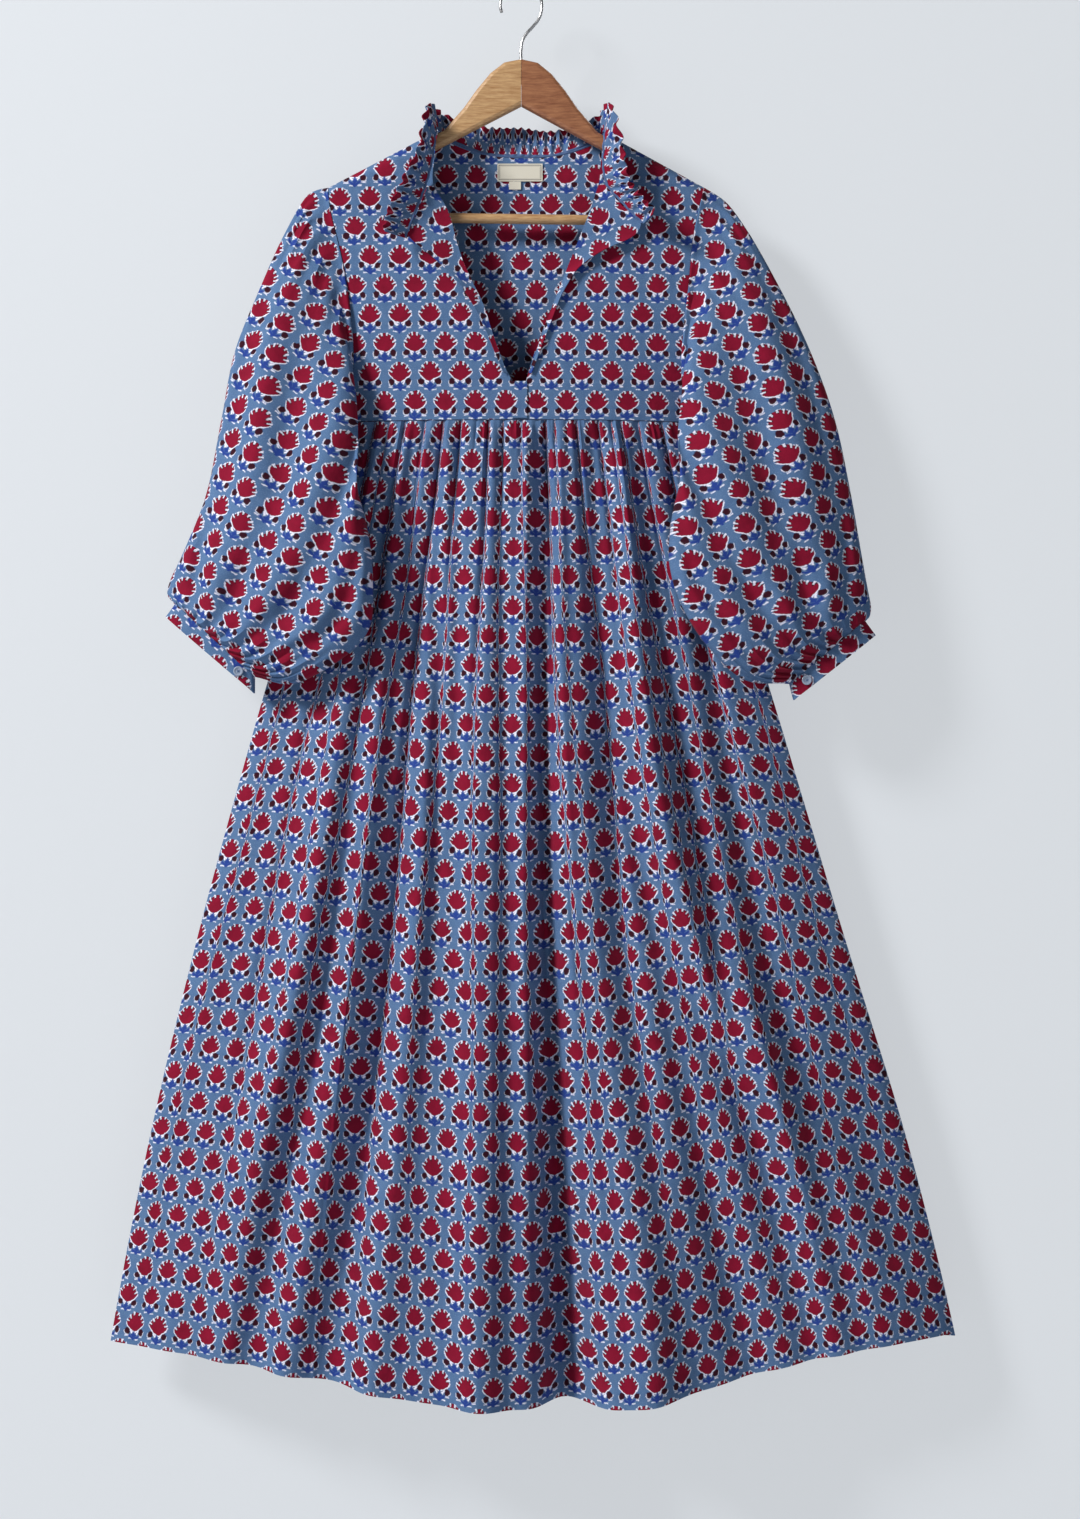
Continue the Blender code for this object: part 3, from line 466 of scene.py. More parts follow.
def fold_height(folds, x, drop):
    """Sum of the soft ridges and troughs of one skirt panel."""
    height = np.zeros(np.broadcast(x, drop).shape)
    for row in folds:
        track = np.column_stack((FOLD_DROPS, row[:3], row[3:6], row[6:9]))
        middle, lift, width = np.moveaxis(smooth_row(track, drop), -1, 0)
        height = height + lift * np.exp(-((x - middle) / width) ** 2)
    centre, half = body_span(drop)
    fade = 1 - np.clip(np.abs(x - centre) / half, 0, 1) ** 8
    return height * fade * ease((drop - YOKE_DROP) / 30.0)


def front_y(x, drop):
    depth, seam = np.moveaxis(smooth_row(BODY, drop)[..., [2, 4]], -1, 0)
    return seam - SEAM_GAP / 2 - depth * fullness(x, drop) - fold_height(FRONT_FOLDS, x, drop)


def back_y(x, drop):
    depth, seam = np.moveaxis(smooth_row(BODY, drop)[..., 3:], -1, 0)
    return seam + SEAM_GAP / 2 + depth * fullness(x, drop) + fold_height(BACK_FOLDS, x, drop)


def points(x, y, drop):
    return np.stack(np.broadcast_arrays(x, y, -np.asarray(drop)), axis=-1)


def armhole_drop(share, shoulder_end):
    """Drop at a share of the way down an armhole seam."""
    return blend(shoulder_drop(shoulder_end), YOKE_DROP - SEAM_GAP / 2, share)


def front_yoke(side):
    """Surface of half the front yoke, from its left edge to its right edge."""
    column = COLUMN[side]

    def surface(u, v):
        across = u if side < 0 else 1 - u
        share = cosine_share(v)
        outer_drop = armhole_drop(share, SHOULDER_END[side])
        inner_drop = blend(shoulder_drop(side * NECK_HALF), YOKE_DROP - SEAM_GAP / 2, share)
        armhole = smooth_row(ARMHOLE, outer_drop)[..., column]
        edge = smooth_row(NECK, inner_drop)[..., column]
        x, drop = blend(armhole, edge, across), blend(outer_drop, inner_drop, across)
        return points(x, front_y(x, drop), drop)
    return surface


def back_yoke(u, v):
    """Surface of the back yoke, from the wearer's right armhole round to the left."""
    share = cosine_share(v)
    seams = [0.0, SHOULDER_SHARE, 1 - SHOULDER_SHARE, 1.0]
    left_end, right_end = SHOULDER_END[-1], SHOULDER_END[1]
    stops = np.interp(u, seams, [right_end / NECK_HALF, 1.0, -1.0, left_end / NECK_HALF])
    top_x = NECK_HALF * np.where(np.abs(stops) < 1, np.sin(math.pi / 2 * stops), stops)
    top = np.where(np.abs(top_x) < NECK_HALF, neck_drop(top_x), shoulder_drop(top_x))
    drop = blend(top, YOKE_DROP - SEAM_GAP / 2, share)
    left = smooth_row(ARMHOLE, armhole_drop(share, left_end))[..., 0]
    right = smooth_row(ARMHOLE, armhole_drop(share, right_end))[..., 1]
    x = blend(left, right, (top_x - left_end) / (right_end - left_end))
    return points(x, back_y(x, drop), drop)


def hem_drop(across, front):
    rise = np.where(across < 0, HEM_RISE_LEFT, HEM_RISE_RIGHT) if front else HEM_RISE_BACK
    lowest = HEM_DROP_FRONT if front else HEM_DROP_BACK
    return lowest - rise * np.sin(math.pi / 2 * np.abs(across)) ** 2


def gather_columns(lines):
    """Places across a skirt panel, closer together at its pleat lines."""
    fine = np.linspace(-1.0, 1.0, 4001)
    dense = np.ones_like(fine)
    for place in lines[:, 0]:
        dense = dense + DENSER * np.exp(-((fine - place) / DENSE_HALF) ** 2)
    dense = dense * (0.75 + 0.25 * np.sqrt(np.clip(1 - fine ** 2, 0, 1)))
    total = np.concatenate(([0.0], np.cumsum((dense[1:] + dense[:-1]) / 2)))
    return total / total[-1], fine


def wander(place, drop):
    """How far a pleat line strays sideways on its way down, as a share of the panel's half."""
    return 0.010 * np.sin(drop / 95.0 + 21.0 * place) * ease((drop - YOKE_DROP) / 160.0)


def pleat_fade(length, drop):
    return ease(1 - (drop - YOKE_DROP) / length)


def pleat_relief(lines, across, half, drop):
    """Height of the long pleats and of the small gathers between them under the yoke seam."""
    lift = np.zeros(np.broadcast(across, drop).shape)
    for place, depth, length, _ in lines:
        off = (across - place - wander(place, drop)) * half
        wide = GROOVE_HALF + GROOVE_WIDENS * (drop - YOKE_DROP)
        near = np.clip(1 - np.abs(off + 0.25 * wide) / wide, 0, 1)
        deep = 0.68 * pleat_fade(1.3 * length, drop) + 0.32 * pleat_fade(3.2 * length, drop)
        ridge = np.exp(-((off - 1.3 * wide) / (1.5 * wide)) ** 2) * pleat_fade(2.0 * length, drop)
        lift = lift + depth * (RIDGE_HEIGHT * ridge - GROOVE_DEPTH * near ** 1.4 * deep)
    turn = math.pi * GATHERS * across
    small = np.cos(1.6 * turn + 1.2 * np.sin(0.37 * turn)) + 0.5 * np.cos(2.3 * turn + 0.8)
    reach = 34.0 + 22.0 * np.sin(0.29 * turn) + 14.0 * np.sin(0.83 * turn)
    start = 0.35 + 0.65 * ease((drop - YOKE_DROP) / 9.0)
    return (lift + small * pleat_fade(reach, drop)) * start


def down_the_skirt(v):
    return v * (TOP_SPACING + (1 - TOP_SPACING) * v)


def skirt(front):
    """Surface of the skirt front, left to right, or of the back, right to left."""
    creases = FRONT_CREASES if front else BACK_CREASES
    folds = FRONT_FOLDS if front else BACK_FOLDS
    lines = FRONT_PLEATS if front else BACK_PLEATS
    shares, places = gather_columns(lines)

    def surface(w, v):
        across = np.interp(w if front else 1 - w, shares, places)
        drop = blend(YOKE_DROP + SEAM_GAP / 2, hem_drop(across, front), down_the_skirt(v))
        centre, half = body_span(drop)
        x = centre + across * half
        lift = pleat_relief(lines, across, half, drop)
        lift = lift + CREASE_STRENGTH * fold_height(creases, x, drop)
        lift = lift + FOLD_DEEPER * fold_height(folds, x, drop)
        lift = lift * (1 - np.abs(across) ** 8)
        y = front_y(x, drop) - lift if front else back_y(x, drop) + lift
        return points(x, y, drop)
    return surface


def skirt_cloth(front):
    """Where on its cut panel each place of the skirt lies, in metres."""
    lines = FRONT_PLEATS if front else BACK_PLEATS
    shares, places = gather_columns(lines)
    most_hidden = SKIRT_HALF_CUT - TOP_HALF * CLOTH_SHOWN
    takes = lines[:, 3] * 2 * most_hidden / lines[:, 3].sum()

    def cloth(w, v):
        across = np.interp(w if front else 1 - w, shares, places)
        down = down_the_skirt(v)
        drop = blend(YOKE_DROP, hem_drop(across, front), down)
        half = smooth_row(BODY, drop)[..., 1]
        hidden = np.clip((SKIRT_HALF_CUT - half * CLOTH_SHOWN) / most_hidden, 0.0, 1.0)
        wide = SWALLOW_HALF + SWALLOW_WIDENS * np.maximum(drop - YOKE_DROP, 0.0)
        spot = across * half * CLOTH_SHOWN
        for place, take in zip(lines[:, 0], takes):
            off = (across - place - wander(place, drop)) * half
            spot = spot + take * hidden * (ease((off / wide + 1) / 2) - 0.5)
        return np.stack((spot * MM, down * SKIRT_LENGTH * MM), -1)
    return cloth


def ring_section(row, angle):
    """Closed section through an outer and an inner point, bowed in front towards the body."""
    out_x, out_drop, in_x, in_drop, bow, out_y, in_y, front, back = np.moveaxis(row, -1, 0)
    share = (1 - np.cos(angle)) / 2
    facing = np.sin(angle)
    x, drop = blend(out_x, in_x, share), blend(out_drop, in_drop, share)
    y = blend(out_y, in_y, share)
    bulge = bow * np.sin(math.pi * share ** 1.6) * np.where(facing > 0, 1.0, 0.05)
    x = x - bulge * np.sign(out_x)
    depth = np.abs(facing) ** 0.8
    return x, drop, y - np.where(facing > 0, front, -back) * depth


def behind_limit(x, drop, side):
    """Furthest back that a sleeve may reach where it lies over the body."""
    centre, half = body_span(drop)
    edge = np.where(drop < BODY_EDGE[-1, 0], smooth_row(BODY_EDGE, drop)[..., COLUMN[side]],
                    centre + side * half)
    past = np.maximum(side * (x - edge) - EDGE_MARGIN, 0.0)
    return front_y(x, drop) - SLEEVE_CLEARANCE + EDGE_WRAP * past


def crease_lift(u, v):
    lift = np.zeros(np.broadcast(u, v).shape)
    for place, along, height, wide, long, slant in SLEEVE_CREASES:
        off = u - place - slant * (v - along)
        lift = lift + height * np.exp(-(off / wide) ** 2 - ((v - along) / long) ** 2)
    return SLEEVE_CREASE_STRENGTH * lift


def sleeve(side):
    """Surface of a sleeve: round it from its outer line, and down it to the cuff."""
    rows = np.column_stack((SLEEVE_SHARES, SLEEVE[side]))
    column = COLUMN[side]

    def surface(u, v):
        round_it = u if side < 0 else 1 - u
        angle = 2 * math.pi * round_it
        facing = np.sin(angle)
        row = smooth_row(rows, v)
        x, drop, y = ring_section(row, angle)
        share = (1 - np.cos(angle)) / 2
        uneven = 0.5 * np.sin(3 * angle + side)
        gathers = np.cos(2 * SLEEVE_GATHERS * angle + uneven)
        gathers = gathers - 0.3 * np.cos(5 * SLEEVE_GATHERS * angle)
        head = HEAD_SWELL * np.exp(-((v - 0.09) / 0.07) ** 2) * (1 - share)
        swell = head + CUFF_SWELL * np.exp(-((v - 0.95) / 0.07) ** 2)
        ends = ease(v / 0.12) * ease((1 - v) / 0.05)
        y = y - facing * (gathers * swell + crease_lift(round_it, v) * ends)
        limit = behind_limit(x, drop, side) - SLEEVE_HOLLOW * np.clip(facing, 0, 1) ** 0.6
        y = np.where((drop > UNDERARM_DROP) | (facing > 0), np.minimum(y, limit), y)
        edge_drop = armhole_drop(share, SHOULDER_END[side])
        edge_x = smooth_row(ARMHOLE, edge_drop)[..., column]
        edge_y = np.where(facing >= 0, front_y(edge_x, edge_drop), back_y(edge_x, edge_drop))
        edge_x = edge_x + side * SEAM_GAP
        start = 1 - np.clip(v / SLEEVE_SHARES[1], 0, 1)
        return points(blend(x, edge_x, start), blend(y, edge_y, start), blend(drop, edge_drop, start))
    return surface


def laid_flat(place, turn):
    """Places seen from the front, turned by an angle, in metres."""
    x, drop = place[..., 0], -place[..., 2]
    cos, sin = math.cos(turn), math.sin(turn)
    return np.stack((x * cos - drop * sin, x * sin + drop * cos), -1) * MM


def turned_cloth(surface, side, turn):
    """Straight grain of a sleeve or cuff, turned on the body and measured from its outer line."""
    def cloth(u, v):
        place = surface(u, v)
        outer = surface(np.zeros_like(u), v)
        inward = surface(np.full_like(u, 0.5), v) - outer
        inward[..., 1] = 0.0
        inward = inward / np.linalg.norm(inward, axis=-1, keepdims=True)
        off = place - outer
        round_it = np.linalg.norm(off, axis=-1) - np.linalg.norm(off[..., [0, 2]], axis=-1)
        laid = place + inward * round_it[..., None]
        return laid_flat(laid, turn * side)
    return cloth


def flat_cloth(surface, turn=0.0):
    """Straight grain of a panel that lies flat, turned by an angle."""
    def cloth(u, v):
        return laid_flat(surface(u, v), turn)
    return cloth


def strip_cloth(length, width, start):
    """Grain of a strip sewn on along its length."""
    def cloth(u, v):
        return np.stack((u * length * MM, (start + v * width) * MM), -1)
    return cloth


def cuff(side):
    """Surface of a cuff band, from the sleeve seam to its open edge."""
    def surface(u, v):
        angle = 2 * math.pi * (u if side < 0 else 1 - u)
        seam, edge = CUFF[side]
        row = blend(seam, edge, np.asarray(v)[..., None])
        x, drop, y = ring_section(np.insert(row, 4, 0.0, axis=-1), angle)
        arm = edge[:2] - seam[:2]
        step = SEAM_GAP / np.hypot(*arm)
        return points(x + arm[0] * step, y, drop + arm[1] * step)
    return surface


def lapel(side):
    """Surface of a turned-back slit facing, lying on the front yoke."""
    def surface(u, v):
        across = u if side < 0 else 1 - u
        rows = LAPEL[side]
        drop = blend(rows[0, 0], rows[-1, 0], v)
        fold, free, stand = np.moveaxis(smooth_row(rows, drop), -1, 0)
        x = blend(free, fold, across)
        lift = CLOTH + SEAM_GAP + stand * (1 - across) ** 1.3
        return points(x, front_y(x, drop) - lift, drop)
    return surface


def placket(u, v):
    """Surface of the overlap that closes the foot of the slit."""
    x = blend(PLACKET_LEFT, PLACKET_RIGHT, u)
    drop = blend(PLACKET_TOP, PLACKET_FOOT, v)
    return points(x, front_y(x, drop) - CLOTH - SEAM_GAP, drop)


def collar(u, v):
    """Surface of the collar ruffle: along its seam, and from its free edge to the seam."""
    row = smooth_row(COLLAR, u)
    near = smooth_row(COLLAR, np.clip(u + 0.002, 0, 1))
    near = near - smooth_row(COLLAR, np.clip(u - 0.002, 0, 1))
    base, along = (points(*np.moveaxis(seam[..., :3], -1, 0)) for seam in (row, near))
    lean = row[..., 3:]
    lean = lean / np.linalg.norm(lean, axis=-1, keepdims=True)
    swing = np.cross(along, lean)
    swing = swing / np.linalg.norm(swing, axis=-1, keepdims=True)
    up = 1 - v
    size = blend(COLLAR_SWING_SEAM, COLLAR_SWING_EDGE, up) * (0.8 + 0.25 * np.sin(9.0 * u * 7 + 1))
    wave = size * np.cos(2 * math.pi * COLLAR_WAVES * u)
    height = COLLAR_HEIGHT * up * (0.94 + 0.08 * np.sin(17 * u))
    return base + lean * height[..., None] + swing * wave[..., None]


def label_surface(middle, width, top, height):
    """Surface of a flat label on the inside of the back yoke."""
    def surface(u, v):
        x = middle + width * (u - 0.5)
        drop = top + height * v
        y = back_y(x, drop) - CLOTH - SEAM_GAP - LABEL_THICKNESS
        return points(x, y, drop)
    return surface


def surface_normals(surface, u, v, pins, closed):
    """Outward unit normals of a surface; at a pinned edge one axis is left out."""
    step = 0.004
    inner_v = np.clip(v, 2 * step, 1 - 2 * step)

    def at(uu, vv):
        return surface(uu % 1.0 if closed else np.clip(uu, 0, 1), np.clip(vv, 0, 1))
    across = at(u + step, inner_v) - at(u - step, inner_v)
    down = at(u, inner_v + step) - at(u, inner_v - step)
    normals = -np.cross(across, down)
    for edge, axis in pins:
        shoulder = np.abs(u - 0.5) > 0.5 - SHOULDER_SHARE - step
        on_edge = {"top": v < step, "foot": v > 1 - step, "start": u < step, "end": u > 1 - step,
                   "shoulders": (v < step) & shoulder}[edge]
        normals[on_edge, axis] = 0.0
    return normals / np.linalg.norm(normals, axis=-1, keepdims=True)


def unit_grid(columns, rows, closed):
    """Grid one unit wide and long, u to the right and v down, or the same rolled into a tube."""
    bm = bmesh.new()
    bmesh.ops.create_grid(bm, x_segments=columns, y_segments=rows, size=0.5)
    bmesh.ops.translate(bm, verts=bm.verts, vec=(0.5, -0.5, 0.0))
    if closed:
        for vert in bm.verts:
            turn = 2 * math.pi * vert.co.x
            vert.co = (math.cos(turn), math.sin(turn), vert.co.y)
        bmesh.ops.remove_doubles(bm, verts=bm.verts, dist=1e-5)
    return bm


def cut_cloth(name, columns, rows, surface, cloth, material, thickness=0.9, closed=False, pins=()):
    """Thin closed wall of cloth on a surface, with its place on the cut panel as its UV map."""
    bm = unit_grid(columns, rows, closed)
    extruded = bmesh.ops.extrude_face_region(bm, geom=bm.faces[:], use_keep_orig=True)
    inner = {item for item in extruded["geom"] if isinstance(item, bmesh.types.BMVert)}
    spots = np.array([vert.co[:] for vert in bm.verts])
    if closed:
        u = (np.arctan2(spots[:, 1], spots[:, 0]) / (2 * math.pi)) % 1.0
        v = -spots[:, 2]
    else:
        u, v = spots[:, 0], -spots[:, 1]
    u[u > 1 - 1e-6] = 0.0 if closed else 1.0
    u, v = np.clip(u, 0, 1), np.clip(v, 0, 1)
    is_inner = np.array([vert in inner for vert in bm.verts])
    shift = -thickness * surface_normals(surface, u, v, pins, closed)
    places = (surface(u, v) + shift * is_inner[:, None]) * MM
    for vert, place in zip(bm.verts, places):
        vert.co = place
    bmesh.ops.recalc_face_normals(bm, faces=bm.faces)
    piece = finished(name, bm, material)
    corners = np.empty(len(piece.data.loops), dtype=np.int32)
    piece.data.loops.foreach_get("vertex_index", corners)
    corners = corners.reshape(-1, 4)
    corner_u, corner_v = u[corners], v[corners]
    if closed:
        past = corner_u.max(axis=1, keepdims=True) > 0.6
        corner_u = np.where(past & (corner_u == 0.0), 1.0, corner_u)
    flat = cloth(corner_u, corner_v)
    layer = piece.data.uv_layers.new(name="cut")
    layer.data.foreach_set("uv", flat.astype(np.float32).ravel())
    return piece


def placed(name, data):
    """Object of a mesh, curve, lamp or camera, in the scene."""
    thing = bpy.data.objects.new(name, data)
    bpy.context.scene.collection.objects.link(thing)
    return thing


def riding(name, mesh, material):
    """Object of a mesh, riding on the body."""
    mesh.materials.append(material)
    piece = placed(name, mesh)
    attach(piece, "root")
    return piece


def mesh_of(name, bm):
    mesh = bpy.data.meshes.new(name)
    bm.to_mesh(mesh)
    bm.free()
    return mesh


def finished(name, bm, material):
    """Shaded piece of a bmesh, sharp where two faces meet at over 40 degrees."""
    mesh = mesh_of(name, bm)
    mesh.shade_smooth()
    mesh.set_sharp_from_angle(angle=math.radians(40))
    return riding(name, mesh, material)


class Value:
    """A number in a material's node tree; + - * / and the calls below add its Math nodes."""

    def __init__(self, tree, socket):
        self.tree = tree
        self.socket = socket

    def math(self, operation, *others, clamp=False):
        node = self.tree.nodes.new("ShaderNodeMath")
        node.operation = operation
        node.use_clamp = clamp
        for slot, value in zip(node.inputs, (self, *others)):
            if isinstance(value, Value):
                self.tree.links.new(value.socket, slot)
            else:
                slot.default_value = value
        return Value(self.tree, node.outputs[0])

    def __add__(self, other):
        return self.math("ADD", other)

    def __sub__(self, other):
        return self.math("SUBTRACT", other)

    def __mul__(self, other):
        return self.math("MULTIPLY", other)

    def __truediv__(self, other):
        return self.math("DIVIDE", other)

    def size(self):
        return self.math("ABSOLUTE")

    def floor(self):
        return self.math("FLOOR")

    def fraction(self):
        return self.math("FRACT")

    def least(self, other):
        return self.math("MINIMUM", other)

    def most(self, other):
        return self.math("MAXIMUM", other)

    def away(self, other):
        """Length of the vector whose other leg is given."""
        return (self * self + other * other).math("SQRT")

    def inside(self, blur=0.8):
        """1 where a distance is below 0, 0 where it is above, soft over the blur."""
        return self.math("MULTIPLY_ADD", -1.0 / blur, 0.5, clamp=True)


def new_material(name, **values):
    """New material, its tree and its shader with inputs set by name."""
    material = bpy.data.materials.new(name)
    material.use_nodes = True
    shader = material.node_tree.nodes["Principled BSDF"]
    adjust(shader, **values)
    return material, material.node_tree, shader


def paint(red, green, blue):
    """Scene colour of a colour that is named on the 0 to 255 scale of a screen."""
    return tuple(((c / 255 + 0.055) / 1.055) ** 2.4 if c > 10 else c / 255 / 12.92
                 for c in (red, green, blue)) + (1.0,)


def adjust(node, **values):
    """Set inputs of a node by name, with _ for a space; a socket or a Value is linked."""
    for name, value in values.items():
        slot = node.inputs[name.replace("_", " ")]
        if isinstance(value, Value):
            value = value.socket
        if isinstance(value, bpy.types.NodeSocket):
            node.id_data.links.new(value, slot)
        else:
            slot.default_value = value


def object_spots(tree):
    return tree.nodes.new("ShaderNodeTexCoord").outputs["Object"]


def cut_spots(tree):
    """Places on the cut cloth: the map that cut_cloth makes."""
    uv = tree.nodes.new("ShaderNodeUVMap")
    uv.uv_map = "cut"
    split = tree.nodes.new("ShaderNodeSeparateXYZ")
    adjust(split, Vector=uv.outputs["UV"])
    across, down = Value(tree, split.outputs["X"]) / MM, Value(tree, split.outputs["Y"]) / MM
    return uv.outputs["UV"], across, down


def noise(tree, spots, scale, detail=2.0, roughness=0.5, output="Fac"):
    node = tree.nodes.new("ShaderNodeTexNoise")
    adjust(node, Vector=spots, Scale=scale, Detail=detail, Roughness=roughness)
    return Value(tree, node.outputs[output])


def bumped(tree, height, strength, distance, **under):
    """Normal of a surface raised by a height, over another Normal if one is given."""
    node = tree.nodes.new("ShaderNodeBump")
    adjust(node, Height=height, Strength=strength, Distance=distance, **under)
    return node.outputs["Normal"]


def mixed(tree, share, first, second):
    """One colour laid over another by a share; each is a colour or a socket."""
    node = tree.nodes.new("ShaderNodeMix")
    node.data_type = "RGBA"
    adjust(node, Factor=share, A=first, B=second)
    return node.outputs["Result"]


GROUND_DEEP = paint(66, 96, 138)
GROUND_PALE = paint(96, 127, 166)
GROUND_WORN = paint(116, 145, 182)
BLEACHED = paint(232, 232, 248)
STEM_BLUE = paint(34, 60, 142)
BUD_RED = paint(52, 6, 24)
FLOWER_DEEP = paint(108, 6, 34)
FLOWER_RED = paint(152, 16, 52)
# How far the flower reaches round its foot: share of half a turn from straight up, millimetres
FLOWER_REACH = ((0.0, 15.4), (0.085, 14.4), (0.15, 13.3), (0.25, 12.3), (0.33, 12.1), (0.38, 12.0),
                (0.43, 10.6), (0.5, 8.6), (0.6, 6.7), (0.76, 5.3), (1.0, 4.7))
LONGEST_REACH = 17.0


def petal_reach(tree, turn):
    """How far the flower reaches at an angle from straight up, given as a share of half a turn."""
    node = tree.nodes.new("ShaderNodeFloatCurve")
    curve = node.mapping.curves[0]
    places = [(share, reach / LONGEST_REACH) for share, reach in FLOWER_REACH]
    curve.points[0].location = places[0]
    curve.points[1].location = places[-1]
    for place in places[1:-1]:
        curve.points.new(*place)
    node.mapping.update()
    adjust(node, Value=turn)
    return Value(tree, node.outputs[0]) * LONGEST_REACH


def stroke(across, y, foot, slope, thick, start, end):
    """Distance from a straight stroke that rises outwards from the middle on both sides."""
    size = math.hypot(1.0, slope)
    off = ((y - foot) / size - across * (slope / size)).size() - thick
    along = across / size + (y - foot) * (slope / size)
    return off.most(along * -1.0 + start).most(along - end)


def sprig_print(tree):
    """Block print: rows of red toothed flowers with two buds and a blue stem on a blue ground."""
    place, u, v = cut_spots(tree)
    parts = tree.nodes.new("ShaderNodeSeparateColor")
    adjust(parts, Color=noise(tree, place, 120.0, output="Color"))
    u = u + (Value(tree, parts.outputs["Red"]) - 0.5) * WOBBLE
    v = v + (Value(tree, parts.outputs["Green"]) - 0.5) * WOBBLE
    ragged = (noise(tree, place, 560.0) - 0.5) * 3.0
    patchy = noise(tree, place, 300.0, 1.0)

    row = (v / SPRIG_DOWN).floor()
    step = (row * 0.5).fraction()
    x = ((u / SPRIG_ACROSS + step).fraction() - 0.5) * SPRIG_ACROSS
    y = ((v / SPRIG_DOWN).fraction() * -1.0 + 0.5) * SPRIG_DOWN - SPRIG_MIDDLE
    across = x.size()

    lifted = y + FLOWER_FOOT
    turn = across.math("ARCTAN2", lifted)
    low = (turn - LOWEST_TOOTH).math("MULTIPLY", 6.0, clamp=True)
    reach = petal_reach(tree, turn / math.pi)
    far = x.away(lifted)
    edge = far - reach
    tooth = ((turn / TOOTH_TURN + 0.5).fraction() - 0.5).size() * 2.0
    bite = low * -TOOTH_DEPTH + TOOTH_DEPTH
    flower = edge + tooth.math("POWER", 1.2) * bite + ragged * 0.3
    heart = edge + (tooth - 0.4).size() * bite * 0.35 + ragged * 0.5
    fleck = ((tooth - 0.86).size() * 2.8 - 0.42).most(edge * -1.0 - 3.0).most(edge - 0.9)
    fleck = fleck + ragged * 0.4 + low * 9.0
    rim = edge + tooth * bite * 0.3 - 0.8 - low * 0.65 + ragged * 0.5
    rim = rim.most((patchy - 0.5) * 12.0 - low * 12.0)

    bud = ((across - 8.5) * 1.08).away(y + 10.0) - 3.3 + ragged * 0.6
    husk = (bud - 0.7).most((across - 8.5) * -0.9 + (y + 10.0) + 1.8)
    petal = stroke(across, y, -15.4, 1.25, 0.9, 4.4, 8.4) + ragged * 0.5
    shelf = ((y + 14.7).size() - 0.5).most((across - 8.4).size() - 2.6)
    lip = ((y + 17.8).size() - 0.5).most((across - 4.4).size() - 2.0)
    white = rim.least(fleck).least(petal).least(husk).least(shelf.least(lip) + ragged * 0.5)
    stem = (across - 1.0).most((y + 14.6).size() - 6.0)
    knob = across * 0.9 + (y + 13.4).size() - 3.0
    arm = stroke(across, y, -17.2, 0.5, 1.25, 0.0, 7.4)
    blue = stem.least(knob).least(arm) + ragged * 0.5

    cloud = noise(tree, place, 55.0, 4.0, 0.6)
    worn = (noise(tree, place, 900.0) - 0.5).math("MULTIPLY", 2.2, clamp=True)
    ground = mixed(tree, worn, mixed(tree, cloud, GROUND_DEEP, GROUND_PALE), GROUND_WORN)
    colour = mixed(tree, white.inside(), ground, BLEACHED)
    colour = mixed(tree, blue.inside() * 0.94, colour, STEM_BLUE)
    colour = mixed(tree, bud.inside().most(heart.inside()) * 0.99, colour, BUD_RED)
    colour = mixed(tree, fleck.inside(), colour, BLEACHED)
    red = mixed(tree, cloud, FLOWER_DEEP, FLOWER_RED)
    return mixed(tree, flower.inside() * 0.99, colour, red)


def printed_cotton(name):
    """Printed plain-weave cotton: soft, dull, with a fine thread grain and small crumples."""
    material, tree, shader = new_material(
        name, Roughness=0.88, Sheen_Weight=0.04, Sheen_Roughness=0.5, Specular_IOR_Level=0.15)
    spots = object_spots(tree)
    soft = bumped(tree, noise(tree, spots, 75.0, 3.0, 0.55), 0.55, 0.0016)
    fine = bumped(tree, noise(tree, spots, 1500.0, 1.0), 0.25, 0.0002, Normal=soft)
    adjust(shader, Base_Color=sprig_print(tree), Normal=fine)
    return material


def turned_wood(name, light, dark):
    """Varnished wood with long grain, fine pores and a soft gloss."""
    material, tree, shader = new_material(
        name, Roughness=0.42, Coat_Weight=0.25, Coat_Roughness=0.25)
    grain_way = tree.nodes.new("ShaderNodeMapping")
    adjust(grain_way, Vector=object_spots(tree), Scale=(1.0, 9.0, 9.0), Rotation=(0.0, 0.5, 0.0))
    grain = noise(tree, grain_way.outputs["Vector"], 70.0, 6.0, 0.62)
    pores = noise(tree, grain_way.outputs["Vector"], 420.0)
    streak = ((grain - 0.32) * 2.6).math("ADD", 0.0, clamp=True)
    pore = ((pores * -1.0 + 0.40) * 4.0).math("ADD", 0.0, clamp=True)
    adjust(shader, Base_Color=mixed(tree, pore, mixed(tree, streak, dark, light), dark),
           Normal=bumped(tree, grain, 0.3, 0.0003), Roughness=pores * 0.25 + 0.3)
    return material


def drawn_steel():
    """Plated wire: bright, with faint draw marks and small dull spots."""
    material, tree, shader = new_material("plated_wire", Roughness=0.25, Metallic=1.0)
    dull = noise(tree, object_spots(tree), 240.0, 4.0, 0.6)
    colour = mixed(tree, dull, (0.50, 0.50, 0.51, 1), (0.74, 0.74, 0.75, 1))
    adjust(shader, Base_Color=colour, Roughness=dull * 0.3 + 0.12)
    return material


